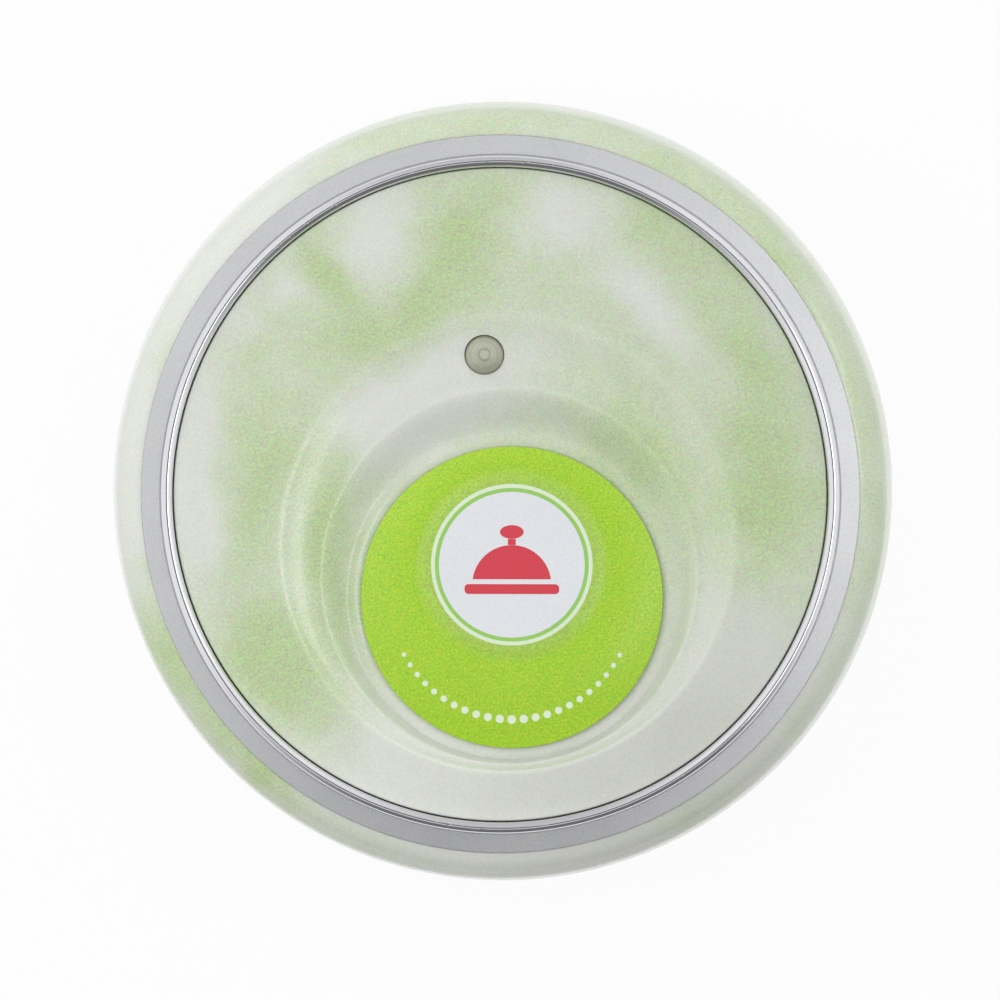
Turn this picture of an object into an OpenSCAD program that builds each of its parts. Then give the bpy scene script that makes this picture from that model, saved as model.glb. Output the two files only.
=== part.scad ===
// Table-top call button: a round marbled case with a plated trim ring and
// an off-centre finger bowl. A sprung push key with a label on it lies in
// the floor of the bowl, a lamp looks out of the bowl's back slope, and a
// coin cell sits behind a bayonet door underneath.
// The origin is at the centre of the underside, +Z is up and +Y runs from
// the key towards the lamp. All sizes are in millimetres and degrees.

/* [Case] */
// Diameter over the widest part of the skirt
case_d = 60; // [53:0.5:72]
// Overall height from the table to the top of the bead
case_h = 20; // [18:0.1:26]
// Height of the widest part of the skirt above the table
belly_z = 10.5; // [8:0.5:12]
// Radius of the long curve down the side of the skirt
belly_r = 32; // [30:1:60]
// Radius of the round shoulder beside the trim ring
shoulder_r = 2.6; // [2.2:0.1:3]
// Rounding of the skirt's lower edge
skirt_edge_r = 0.6; // [0.2:0.1:0.9]
// Wall of the skirt at its widest part
skirt_t = 2.3; // [1.6:0.1:2.6]
// Thickness of the shell's upper and lower ledges
ledge_t = 1.3; // [0.8:0.1:1.8]
// Radial gap of parts that drop into each other
drop_gap = 0.1; // [0.05:0.01:0.2]

/* [Trim ring] */
// Distance of the trim ring's edge inside the widest part of the skirt
ring_inset = 2.75; // [2.7:0.05:3.2]
// Width of the flat band
band_w = 1.5; // [1:0.05:1.6]
// Width of the polished bead
bead_w = 0.9; // [0.5:0.05:0.9]
// Height of the bead above the top panel
bead_rise = 0.6; // [0.4:0.05:0.9]
// Climb of the band from its outer edge to the bead
band_rise = 0.3; // [0.1:0.05:0.4]
// Drop from the top panel to the band's outer edge
band_drop = 0.7; // [0.4:0.05:0.9]
// Thickness of the band at its outer edge
band_t = 0.6; // [0.4:0.05:0.8]

/* [Top panel] */
// Shadow gap between the panel and the bead
panel_gap = 0.2; // [0.2:0.05:0.5]
// Wall of the panel and of the bowl
panel_t = 1.4; // [1:0.1:1.6]
// Rounding of the panel's edge
panel_edge_r = 0.3; // [0.1:0.05:0.5]
// Thickness of the flange under the trim ring
flange_t = 0.8; // [0.6:0.05:1]
// How far the flange stays inside the trim ring's edge
flange_inset = 0.7; // [0.5:0.05:0.9]
// How far the shell's upper ledge reaches in past the trim ring's bead
ledge_reach = 0.2; // [0:0.05:0.4]
// Width of the panel's thick rim
panel_rim_w = 1.25; // [0.8:0.05:1.6]
// Thickness of the seal under the flange
gasket_t = 0.4; // [0.2:0.05:0.6]
// Width of the seal under the flange
gasket_w = 1.4; // [1:0.1:1.5]

/* [Bowl] */
// Depth of the bowl's floor below the panel
bowl_depth = 2; // [1.8:0.1:3]
// Depth of the upper shelf below the panel
shelf_depth = 0.7; // [0.5:0.1:1]
// Width that the upper slope adds to the bowl's radius
shelf_run = 3; // [2:0.1:3.2]
// Width that the lower slope adds to the bowl's radius
dish_run = 1.9; // [1.2:0.1:2.4]
// Width of the floor round the key's hole
floor_w = 0.8; // [0.5:0.1:1.4]
// Width of the flat panel in front of the bowl
front_land = 3.65; // [2.8:0.05:4]
// Run of the upper slope at the bowl's front
shelf_front = 0.5; // [0.3:0.05:0.7]
// Run of the lower slope at the bowl's front
dish_front = 0.2; // [0.1:0.05:0.4]

/* [Key] */
// Diameter of the push key
key_d = 23; // [20:0.1:23.2]
// Travel of the key
key_travel = 0.5; // [0.25:0.05:0.6]
// Radial gap between the key and its hole
key_gap = 0.1; // [0.1:0.05:0.3]
// Height of the key above the bowl's floor
key_proud = 0.2; // [0.2:0.05:0.6]
// Thickness of the key's top and side walls
key_t = 1.1; // [0.9:0.1:1.4]
// Width of the flange that keeps the key in
key_flange_w = 1.3; // [1:0.1:1.5]
// Thickness of that flange
key_flange_t = 1; // [0.6:0.1:1.1]
// Gap between the flange and the floor above it
key_rest_gap = 0.15; // [0.1:0.05:0.3]
// Radius of the stem under the key
key_stem_r = 1.6; // [1.2:0.1:2]
// Thickness of the ribs under the key
key_rib_t = 0.8; // [0.6:0.1:1.2]
// Number of guide pins round the key
guides = 3; // [2:1:4]
// Radius of a guide pin
guide_r = 0.8; // [0.6:0.05:0.9]
// Radial gap between a guide pin and its notch
guide_gap = 0.2; // [0.1:0.05:0.3]
// Reach of the guide pins below the pressed key's flange
guide_over = 0.5; // [0.2:0.1:0.8]

/* [Label] */
// How far the label stays inside the key's edge
label_inset = 0.1; // [0.05:0.05:0.5]
// Thickness of the label
label_t = 0.25; // [0.15:0.05:0.4]
// Radius of the label's raised centre
raised_r = 7.4; // [6:0.1:7.8]
// Height of the raised centre above the label
raised_t = 0.12; // [0.05:0.01:0.2]
// Distance of the raised centre from the label's centre
raised_shift = 2.5; // [1:0.1:3]
// Clockwise turn of the label on the key
label_turn = 6.4; // [0:0.1:10]

/* [Lamp] */
// Diameter of the lamp's body
lamp_d = 3; // [2.8:0.1:3.2]
// Distance of the lamp from the bowl's back edge
lamp_inset = 2.9; // [2.3:0.1:3.1]
// Radial gap between the lamp and its hole
lamp_gap = 0.05; // [0.05:0.01:0.15]
// Height of the lamp's tip above the slope round it
lamp_proud = 0.6; // [0.2:0.05:0.8]
// Length of the lamp above its flange
lamp_len = 4.6; // [4.2:0.1:4.8]
// Radius of the lamp's flange
lamp_flange_r = 1.9; // [1.8:0.05:2.1]
// Thickness of the lamp's flange
lamp_flange_t = 1; // [0.8:0.1:1.2]
// Distance between the lamp's leads
lead_pitch = 2.54; // [2.4:0.02:2.6]
// Width of a lead
lead_w = 0.5; // [0.4:0.05:0.55]
// Length of the leads below the board
lead_tail = 0.5; // [0.3:0.1:0.5]
// Wall of the collar round the lamp
lamp_collar_t = 1.2; // [0.8:0.1:1.6]
// Gap between the collar and the lamp's flange
collar_gap = 0.1; // [0.05:0.01:0.15]

/* [Base] */
// Height of the rubber ring below the base
foot_h = 0.8; // [0.5:0.1:1]
// Thickness of the base plate
base_t = 2.2; // [2:0.1:2.4]
// Width of the skirt's flat edge round the base plate
base_rim_w = 0.9; // [0.6:0.05:1]
// Width of the shell's lower ledge above the base plate
base_ledge_w = 1.5; // [1:0.1:1.5]
// Distance of the rubber ring's middle from the base plate's edge
foot_inset = 1.9; // [1.7:0.05:2.4]
// Width of the rubber ring
foot_w = 2.3; // [1.6:0.1:2.3]
// Depth of the groove that holds the rubber ring
foot_groove = 0.6; // [0.3:0.05:0.8]
// Clearance of the rubber ring in its groove
foot_gap = 0.05; // [0.02:0.01:0.08]

/* [Battery] */
// Diameter of the coin cell
cell_d = 20; // [19.5:0.1:20]
// Thickness of the coin cell
cell_h = 3.2; // [2.5:0.1:3.2]
// Radial room round the cell
cell_gap = 0.25; // [0.15:0.05:0.3]
// Wall of the battery well
well_t = 1.35; // [1:0.05:1.4]
// Height of the cell above the door's rest
cell_rest_gap = 0.05; // [0.02:0.01:0.1]
// Height of the board above the battery well
well_drop = 1.1; // [0.8:0.1:1.4]
// Roof over the channel that the door's lugs turn in
well_roof_t = 0.9; // [0.7:0.1:1.2]
// Wall round that channel
housing_t = 1.5; // [1:0.1:2]
// Room between the cell and the board, for the top contact
contact_room = 0.55; // [0.5:0.05:0.8]
// Gap between the cell and a contact's face
touch_gap = 0.02; // [0.01:0.01:0.03]
// Thickness of the contact strips
strip_t = 0.2; // [0.15:0.05:0.2]
// Width of the contact strips
strip_w = 3; // [2:0.1:4]
// Length of the top contact from its solder pad to the cell's centre
leaf_l = 7; // [6:0.1:9]
// Length of the top contact's solder pad
leaf_pad_l = 3; // [2:0.1:4]
// Length of the top contact's upturned tip
leaf_tip_l = 2; // [1:0.1:3]
// Length of the side contact's solder foot
clip_foot_l = 2.2; // [1.5:0.1:2.6]
// Radial room of the side contact in the well's wall
clip_room = 0.3; // [0.1:0.05:0.4]

/* [Battery door] */
// Reach of the door's flange beyond its lugs
door_lip = 1.6; // [1.5:0.05:1.9]
// Thickness of the door's flange
door_t = 1.2; // [1.1:0.05:1.3]
// Depth of the door below the base's face
door_sunk = 0.1; // [0:0.05:0.2]
// Distance of the door's neck outside the coin cell
neck_room = 1; // [0.8:0.05:1.1]
// Radial gap round the door's flange and neck
door_gap = 0.1; // [0.08:0.01:0.2]
// Gap above and below a lug
lug_gap = 0.1; // [0.05:0.01:0.15]
// Reach of a lug beyond the neck
lug_w = 1.8; // [1.2:0.1:1.9]
// Thickness of a lug
lug_t = 0.6; // [0.5:0.05:0.8]
// Angle that a lug covers
lug_angle = 24; // [16:1:28]
// Turn of the door from locked to open
door_turn = 40; // [30:1:45]
// Side room of a lug in its slot
lug_slack = 2; // [1:0.5:3]
// Length of the coin slot
coin_l = 15; // [12:0.5:17]
// Width of the coin slot
coin_w = 2; // [1.6:0.1:2.4]
// Depth of the coin slot
coin_depth = 0.8; // [0.6:0.1:0.9]
// Thickness of the door's middle
door_web_t = 1.5; // [1.3:0.1:1.9]
// Width of the ring on the door that carries the cell
door_rest_w = 2; // [1.6:0.1:3]
// Radius of the door seal's cord
seal_r = 0.33; // [0.28:0.01:0.34]
// Distance of the door seal's middle from the flange's edge
seal_inset = 0.7; // [0.6:0.05:0.8]
// Clearance of the door seal in its groove
seal_gap = 0.02; // [0.01:0.01:0.03]

/* [Board] */
// Radial gap between the circuit board and the shell's lower ledge
board_gap = 0.3; // [0.2:0.05:0.5]
// Thickness of the circuit board
board_t = 1; // [0.8:0.1:1.2]
// Distance of the board's screws from its edge
board_screw_inset = 6.1; // [5:0.1:6.5]
// Radius of a post under the board
board_post_r = 2.2; // [1.8:0.1:2.4]
// Radius of the aerial's wire
wire_r = 0.4; // [0.3:0.05:0.45]
// Distance of the aerial from the board's edge
aerial_inset = 1.4; // [1.2:0.05:1.6]
// Height of the aerial above the board
aerial_h = 2.8; // [2:0.1:4]
// Half of the angle that the aerial covers
aerial_half = 66; // [58:1:70]
// Radius of an aerial leg
aerial_leg_r = 0.5; // [0.46:0.02:0.55]
// Radial gap round a wire in its hole in the board
wire_gap = 0.05; // [0.02:0.01:0.1]

/* [Parts on the board] */
// Width of the coding chip's body
chip_w = 3.9; // [3.5:0.1:5]
// Length of the coding chip's body
chip_l = 8.7; // [8:0.1:9]
// Thickness of the coding chip's body
chip_h = 1.45; // [1:0.05:1.6]
// Height of the coding chip's body above the board
chip_lift = 0.15; // [0.1:0.05:0.2]
// Distance of the coding chip from the centre line
chip_x = 8.2; // [7.5:0.1:9]
// Distance of the coding chip behind the centre
chip_y = 3.2; // [2.5:0.1:3.5]
// Number of legs on a side of the coding chip
chip_pins = 7; // [4:1:7]
// Distance between the coding chip's legs
chip_pitch = 1.27; // [1:0.01:1.3]
// Thickness of the sheet that legs are cut from
leg_t = 0.2; // [0.1:0.05:0.25]
// Width of a leg of the coding chip
chip_leg_w = 0.42; // [0.3:0.02:0.5]
// Height of a leg of the coding chip
chip_leg_h = 0.8; // [0.6:0.1:1]
// Length of a foot of the coding chip
chip_foot_l = 0.9; // [0.6:0.1:1]
// Side of the square resonator
can_w = 5; // [4:0.1:5.5]
// Height of the resonator's ceramic body
can_h = 1.1; // [0.8:0.1:1.3]
// Thickness of the resonator's lid
can_lid_t = 0.3; // [0.2:0.05:0.4]
// Distance of the resonator's lid from its edge
can_lid_inset = 0.4; // [0.3:0.05:0.6]
// Distance of the resonator behind the centre
can_y = 4.2; // [3.5:0.1:5]
// Length of the transistor's body
transistor_l = 2.9; // [2.5:0.1:3.1]
// Width of the transistor's body
transistor_w = 1.3; // [1.2:0.1:1.6]
// Thickness of the transistor's body
transistor_h = 0.95; // [0.8:0.05:1.1]
// Height of the transistor's body above the board
transistor_lift = 0.1; // [0.05:0.01:0.15]
// Width over the transistor's legs
transistor_span = 2.4; // [2.2:0.1:2.8]
// Distance between the transistor's legs
transistor_pitch = 0.95; // [0.9:0.05:1]
// Distance of the transistor from the centre line
transistor_x = 6.5; // [6:0.1:7]
// Distance of the transistor behind the centre
transistor_y = 15.5; // [15:0.1:16]
// Length of a resistor or capacitor
small_l = 2; // [1.6:0.1:2.2]
// Width of a resistor or capacitor
small_w = 1.25; // [0.8:0.05:1.3]
// Height of a resistor
resistor_h = 0.55; // [0.4:0.05:0.6]
// Height of a capacitor
capacitor_h = 0.9; // [0.6:0.05:1.2]
// Distance between the parts of a row
row_pitch = 2.5; // [2:0.1:2.8]
// Number of parts in a row
row_parts = 3; // [1:1:3]
// Distance of the rows beside the switch from the centre line
side_row_x = 8; // [7:0.1:9]
// Distance of their first part in front of the centre
side_row_y = 6; // [5.5:0.1:7]
// Distance of the row beside the lamp from the centre line
back_row_x = 6; // [5:0.1:7]
// Distance of its first part behind the centre
back_row_y = 14; // [13:0.1:15]

/* [Switch] */
// Side of the square switch
switch_w = 6; // [5.6:0.1:6.4]
// Height of the switch's housing
switch_h = 3; // [2.8:0.1:3.2]
// Thickness of the switch's top frame
frame_t = 0.3; // [0.2:0.05:0.35]
// Height of the stem above the frame
stem_h = 1; // [0.8:0.05:1.1]
// Radius of the switch's stem
stem_r = 1.75; // [1.5:0.05:1.8]
// Running clearance round the switch's stem
stem_gap = 0.07; // [0.05:0.01:0.1]
// Radius of the stem's flange
stem_flange_r = 2.4; // [2.1:0.05:2.4]
// Thickness of the stem's flange
stem_flange_t = 0.7; // [0.5:0.05:0.8]
// Depth of the hollow inside the switch
switch_hollow = 1.5; // [1.45:0.05:1.8]
// Wall at the side of that hollow
switch_wall = 0.4; // [0.3:0.05:0.6]
// Rise of the snap disc
snap_rise = 0.45; // [0.35:0.05:0.5]
// Thickness of the snap disc
snap_t = 0.1; // [0.08:0.01:0.12]
// Radial room round the snap disc
snap_room = 0.4; // [0.2:0.05:0.5]
// Gap under the snap disc's edge
snap_gap = 0.02; // [0.01:0.01:0.05]
// Gap between the stem's flange and the frame above it
lift_gap = 0.1; // [0.05:0.01:0.15]
// Width of a leg of the switch
switch_leg_w = 0.7; // [0.5:0.05:0.9]
// Height of a leg of the switch
switch_leg_h = 0.9; // [0.6:0.1:1.2]
// Length of a foot of the switch
switch_foot_l = 1.3; // [0.8:0.1:1.6]
// Distance between the legs on a side of the switch
switch_leg_pitch = 4.5; // [4:0.1:4.6]
// Gap between the key's stem and the switch's stem
press_gap = 0.05; // [0.02:0.01:0.1]

/* [Screws] */
// Angle of a screw post from the line between left and right
post_angle = 35; // [30:1:45]
// Radius of a screw post of the top panel
post_r = 2.1; // [1.8:0.1:2.4]
// Gap between a post and the panel's thick rim
post_room = 0.2; // [0.1:0.05:0.4]
// Radial gap between a post and its hole in the board
post_hole_gap = 0.4; // [0.2:0.05:0.6]
// Gap between a post's end and the base plate
post_gap = 0.05; // [0.02:0.01:0.2]
// Radius of a case screw's shank
screw_r = 0.95; // [0.8:0.05:1]
// Radius of a case screw's head
screw_head_r = 1.9; // [1.6:0.1:2]
// Height of a case screw's head
screw_head_h = 1; // [0.8:0.05:1.1]
// Length of a case screw's shank
screw_l = 8; // [6:0.5:9]
// Radial clearance of a shank in its moulded hole
thread_gap = 0.02; // [0.01:0.01:0.04]
// Radial clearance of a case screw in the base plate
screw_gap = 0.2; // [0.1:0.05:0.3]
// Depth of a moulded hole below the screw's end
pilot_over = 0.5; // [0.3:0.1:1]
// Depth of the recess for a case screw's head
screw_sink = 1.2; // [1.1:0.05:1.3]
// Radius of a board screw's shank
board_screw_r = 0.8; // [0.6:0.05:0.85]
// Radius of a board screw's head
board_head_r = 1.7; // [1.4:0.1:1.8]
// Height of a board screw's head
board_head_h = 1.1; // [0.8:0.1:1.3]
// Length of a board screw in its post
board_screw_l = 3.9; // [3:0.1:4]
// Radial clearance of a board screw in the board
board_screw_gap = 0.3; // [0.1:0.05:0.4]
// Depth of the cross in a screw's head
cross_depth = 0.5; // [0.3:0.05:0.6]
// Width of the cross in a screw's head
cross_w = 0.45; // [0.3:0.05:0.6]
// Distance of the cross from the head's edge
cross_inset = 0.7; // [0.5:0.05:0.9]

/* [Hidden] */
$fn = 96;
// Facets of the circles that the bowl's slopes are drawn through
slope_fn = 48;
// Overlap of a cut past the face that it opens
cut = 0.5;

// Heights, from the table up
base_z = foot_h;
base_top = base_z + base_t;
door_z = base_z + door_sunk;
lug_z = base_top + lug_gap;
door_top = lug_z + lug_t;
well_floor = door_top + lug_gap;
cell_z = door_top + cell_rest_gap;
board_z = cell_z + cell_h + contact_room;
board_top = board_z + board_t;
well_top = board_z - well_drop;
frame_z = board_top + switch_h;
stem_top = frame_z + frame_t + stem_h;

// Heights, from the bead down
panel_z = case_h - bead_rise;
seam_z = panel_z - band_drop;
seat_z = seam_z - band_t;
flange_z = seat_z - flange_t;
ledge_z = flange_z - gasket_t;
bowl_floor_z = panel_z - bowl_depth;
shelf_z = panel_z - shelf_depth;
key_top = bowl_floor_z + key_proud;
key_flange_z = bowl_floor_z - panel_t - key_rest_gap - key_flange_t;

// Radii
case_r = case_d / 2;
cavity_r = case_r - skirt_t;
ring_r = case_r - ring_inset;
bead_in_r = ring_r - band_w - bead_w;
panel_r = bead_in_r - panel_gap;
flange_r = ring_r - flange_inset;
ledge_r = bead_in_r - ledge_reach;
key_r = key_d / 2;
key_hole_r = key_r + key_gap;
key_pocket_r = key_r - key_t;
key_flange_r = key_r + key_flange_w;
label_r = key_r - label_inset;
cell_r = cell_d / 2;
well_r = cell_r + cell_gap;
neck_r = cell_r + neck_room;
neck_hole_r = neck_r + door_gap;
lug_r = neck_r + lug_w;
lug_room_r = lug_r + door_gap;
door_r = lug_r + door_lip;
door_seat_r = door_r + door_gap;
seal_mid_r = door_r - seal_inset;
lamp_r = lamp_d / 2;
lamp_hole_r = lamp_r + lamp_gap;

// Circles of the bowl: radius, and shift towards the key
floor_r = key_hole_r + floor_w;
key_shift = panel_r - front_land - shelf_front - dish_front - floor_r;
shelf_r = floor_r + dish_run;
shelf_shift = key_shift + floor_r + dish_front - shelf_r;
rim_r = shelf_r + shelf_run;
rim_shift = shelf_shift + shelf_r + shelf_front - rim_r;

// The skirt's two curves meet where their centres and the joint are in line
belly_x = case_r - belly_r;
shoulder_tilt = asin((seam_z - shoulder_r - belly_z) / (belly_r - shoulder_r));
shoulder_x = belly_x + (belly_r - shoulder_r) * cos(shoulder_tilt);
shoulder_z = belly_z + (belly_r - shoulder_r) * sin(shoulder_tilt);
ring_seat_r = ring_r + drop_gap / 2;
shoulder_end = acos((ring_seat_r - shoulder_x) / shoulder_r);
skirt_low_z = base_z + skirt_edge_r;
skirt_low_r = belly_x + sqrt(pow(belly_r, 2) - pow(belly_z - skirt_low_z, 2));
skirt_low_tilt = -asin((belly_z - skirt_low_z) / belly_r);
base_seat_r = skirt_low_r - skirt_edge_r - base_rim_w;
base_r = base_seat_r - drop_gap;
base_ledge_r = base_seat_r - base_ledge_w;
foot_r = base_r - foot_inset;

// The board, what stands on it and the posts that pass it
board_r = base_ledge_r - board_gap;
board_screw_shift = board_r - board_screw_inset;
aerial_r = board_r - aerial_inset;
post_shift = panel_r - panel_rim_w - post_room - post_r;
post_z = base_top + post_gap;
head_z = base_z + screw_sink - screw_head_h;
pilot_end_z = head_z + screw_head_h + screw_l + pilot_over;
stem_z = stem_top + press_gap;
rib_z = (stem_z + key_top - key_t) / 2;

// The lamp stands in the upper slope, at this share of the way down it
lamp_shift = rim_r - rim_shift - lamp_inset;
lamp_share = lamp_inset / (rim_r - rim_shift - shelf_r + shelf_shift);
lamp_tip = panel_z - shelf_depth * sin(90 * lamp_share) + lamp_proud;
lamp_flange_top = lamp_tip - lamp_len;
lamp_z = lamp_flange_top - lamp_flange_t;

// The locked door's lugs, and the groove that holds its seal
lug_start = 90;
lugs = 3;
door_roof = door_z + door_t + lug_gap;
groove_z = door_roof - seal_gap - 2 * seal_r - seal_gap / 2;

// Points of a circular arc from angle a0 to a1
function arc(x, y, r, a0, a1, n) =
    [for (i = [0:n]) let (a = a0 + (a1 - a0) * i / n) [x + r * cos(a), y + r * sin(a)]];

// A value on the way from a to b
function mix(a, b, t) = a + (b - a) * t;

// The four places of the case screws
module at_posts() {
    for (side = [0, 180], a = [-post_angle, post_angle]) {
        rotate([0, 0, side + a])
        translate([post_shift, 0, 0])
        children();
    }
}

// The two places of the board screws
module at_board_screws() {
    for (side = [-1, 1]) {
        translate([side * board_screw_shift, 0, 0])
        children();
    }
}

// Places round the key
module at_guides() {
    translate([0, -key_shift, 0])
    for (i = [0:guides - 1]) {
        rotate([0, 0, 90 + 360 * i / guides])
        translate([key_flange_r, 0, 0])
        children();
    }
}

// A sector of a ring with a rectangular section
module ring_sector(r0, r1, z0, z1, a0, a1) {
    rotate([0, 0, a0])
    rotate_extrude(angle = a1 - a0)
    translate([r0, z0])
    square([r1 - r0, z1 - z0]);
}

// A ring with a rectangular section
module flat_ring(r0, r1, z0, z1) {
    rotate_extrude()
    translate([r0, z0])
    square([r1 - r0, z1 - z0]);
}

// A thin disc of the bowl, shifted towards the key
module bowl_disc(r, shift, z, h) {
    translate([0, -shift, z])
    cylinder(r = r, h = h, $fn = slope_fn);
}

// Convex slope between two circles, steep at first and level at its end
module slope(r0, s0, z0, r1, s1, z1, lift, n) {
    hull() {
        for (i = [0:n]) {
            t = i / n;
            bowl_disc(mix(r0, r1, t), mix(s0, s1, t), mix(z0, z1, sin(90 * t)), lift);
        }
    }
}

// The hollow of the bowl: an upper slope to the shelf and a lower one to the floor
module bowl_hollow() {
    slope(rim_r, rim_shift, panel_z, shelf_r, shelf_shift, shelf_z, cut, 4);
    slope(shelf_r, shelf_shift, shelf_z, floor_r, key_shift, bowl_floor_z, cut, 5);
}

// The wall under the bowl, of the panel's thickness
module bowl_wall() {
    hull() {
        bowl_disc(rim_r + panel_t, rim_shift, panel_z - panel_t, panel_t / 2);
        bowl_disc(shelf_r + panel_t, shelf_shift, shelf_z - panel_t, panel_t / 2);
    }
    hull() {
        bowl_disc(shelf_r + panel_t, shelf_shift, shelf_z - panel_t, panel_t / 2);
        bowl_disc(floor_r + panel_t, key_shift, bowl_floor_z - panel_t, panel_t / 2);
    }
}

// Section of the shell: skirt outside, ledges and seats inside
function shell_section() = concat(
    [[base_seat_r, base_z]],
    arc(skirt_low_r - skirt_edge_r, skirt_low_z, skirt_edge_r, -90, skirt_low_tilt, 5),
    arc(belly_x, belly_z, belly_r, skirt_low_tilt, shoulder_tilt, 14),
    arc(shoulder_x, shoulder_z, shoulder_r, shoulder_tilt, shoulder_end, 12),
    [
        [ring_seat_r, seat_z],
        [flange_r + drop_gap, seat_z],
        [flange_r + drop_gap, ledge_z],
        [ledge_r, ledge_z],
        [ledge_r, ledge_z - ledge_t],
        [cavity_r, ledge_z - ledge_t - (cavity_r - ledge_r) / 2],
        [cavity_r, base_top + ledge_t],
        [base_ledge_r, base_top + ledge_t],
        [base_ledge_r, base_top],
        [base_seat_r, base_top]
    ]
);

module outer_shell() {
    color([0.84, 0.88, 0.78])
    rotate_extrude()
    polygon(shell_section());
}

// Section of the trim ring: a sloping band with a round bead inside it
function ring_section() = let (bead_r = bead_w / 2) concat(
    [[bead_in_r, seat_z], [ring_r, seat_z], [ring_r, seam_z]],
    [[bead_in_r + bead_w, seam_z + band_rise]],
    arc(bead_in_r + bead_r, case_h - bead_r, bead_r, 0, 180, 12)
);

module trim_ring() {
    color([0.78, 0.79, 0.81])
    rotate_extrude()
    polygon(ring_section());
}

// Section of the flat panel with its thick rim and its flange
function panel_section() = concat(
    [
        [0, panel_z - panel_t],
        [panel_r - panel_rim_w, panel_z - panel_t],
        [panel_r - panel_rim_w, flange_z],
        [flange_r, flange_z],
        [flange_r, seat_z],
        [panel_r, seat_z]
    ],
    arc(panel_r - panel_edge_r, panel_z - panel_edge_r, panel_edge_r, 0, 90, 5),
    [[0, panel_z]]
);

module top_panel() {
    guide_z = key_flange_z - key_travel - guide_over;
    color([0.82, 0.88, 0.75])
    difference() {
        union() {
            rotate_extrude()
            polygon(panel_section());
            bowl_wall();
            at_posts()
            translate([0, 0, post_z])
            cylinder(r = post_r, h = panel_z - panel_t / 2 - post_z);
            translate([0, lamp_shift, lamp_flange_top + collar_gap])
            cylinder(r = lamp_hole_r + lamp_collar_t, h = panel_z - panel_t - lamp_flange_top);
            at_guides()
            translate([0, 0, guide_z])
            cylinder(r = guide_r, h = bowl_floor_z - panel_t / 2 - guide_z);
        }
        bowl_hollow();
        translate([0, -key_shift, bowl_floor_z - panel_t - cut])
        cylinder(r = key_hole_r, h = panel_t + 2 * cut);
        translate([0, lamp_shift, lamp_flange_top])
        cylinder(r = lamp_hole_r, h = lamp_len + cut);
        at_posts()
        translate([0, 0, post_z - cut])
        cylinder(r = screw_r + thread_gap, h = pilot_end_z - post_z + cut);
    }
}

module panel_gasket() {
    color([0.2, 0.2, 0.2])
    flat_ring(flange_r - gasket_w, flange_r, ledge_z, flange_z);
}

module key_cap() {
    rib_l = 2 * key_pocket_r + key_t;
    color([0.92, 0.92, 0.86])
    translate([0, -key_shift, 0])
    difference() {
        union() {
            difference() {
                union() {
                    translate([0, 0, key_flange_z])
                    cylinder(r = key_r, h = key_top - key_flange_z);
                    translate([0, 0, key_flange_z])
                    cylinder(r = key_flange_r, h = key_flange_t);
                }
                translate([0, 0, key_flange_z - cut])
                cylinder(r = key_pocket_r, h = key_top - key_t - key_flange_z + cut);
            }
            translate([0, 0, stem_z])
            cylinder(r = key_stem_r, h = key_top - key_t / 2 - stem_z);
            for (a = [0, 90]) {
                rotate([0, 0, a])
                translate([-rib_l / 2, -key_rib_t / 2, rib_z])
                cube([rib_l, key_rib_t, key_top - key_t / 2 - rib_z]);
            }
        }
        for (i = [0:guides - 1]) {
            rotate([0, 0, 90 + 360 * i / guides])
            translate([key_flange_r, 0, key_flange_z - cut])
            cylinder(r = guide_r + guide_gap, h = key_flange_t + key_rest_gap + cut);
        }
    }
}

module key_label() {
    color([0.6, 0.83, 0.15])
    translate([0, -key_shift, key_top])
    rotate([0, 0, -label_turn])
    union() {
        cylinder(r = label_r, h = label_t);
        translate([0, raised_shift, 0])
        cylinder(r = raised_r, h = label_t + raised_t);
    }
}

module indicator_led() {
    color([0.72, 0.71, 0.64])
    translate([0, lamp_shift, 0])
    union() {
        translate([0, 0, lamp_z])
        cylinder(r = lamp_flange_r, h = lamp_flange_t);
        rotate_extrude()
        polygon(concat(
            [[0, lamp_z + lamp_flange_t / 2], [lamp_r, lamp_z + lamp_flange_t / 2]],
            arc(0, lamp_tip - lamp_r, lamp_r, 0, 90, 10)
        ));
    }
}

module led_leads() {
    color([0.75, 0.75, 0.72])
    for (side = [-1, 1]) {
        translate([side * lead_pitch / 2 - lead_w / 2, lamp_shift - lead_w / 2, board_z - lead_tail])
        cube([lead_w, lead_w, lamp_z - board_z + lead_tail]);
    }
}

module switch_plunger() {
    color([0.15, 0.15, 0.16])
    translate([0, -key_shift, 0])
    union() {
        translate([0, 0, frame_z - lift_gap - stem_flange_t])
        cylinder(r = stem_flange_r, h = stem_flange_t);
        translate([0, 0, frame_z - lift_gap - stem_flange_t / 2])
        cylinder(r = stem_r, h = stem_top - frame_z + lift_gap + stem_flange_t / 2);
    }
}

// Section of the snap disc: a shallow round cap of even thickness
function snap_section(half, rise, t) =
    let (r = (pow(half, 2) + pow(rise, 2)) / (2 * rise), a = asin(half / r)) concat(
        [for (i = [0:8]) let (b = a * i / 8) [r * sin(b), rise - r + r * cos(b)]],
        [for (i = [8:-1:0]) let (b = a * i / 8) [(r + t) * sin(b), rise - r + (r + t) * cos(b)]]
    );

module switch_dome() {
    half = switch_w / 2 - switch_wall - snap_room;
    color([0.8, 0.8, 0.78])
    translate([0, -key_shift, frame_z - switch_hollow + snap_gap])
    rotate_extrude()
    polygon(snap_section(half, snap_rise, snap_t));
}

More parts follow.
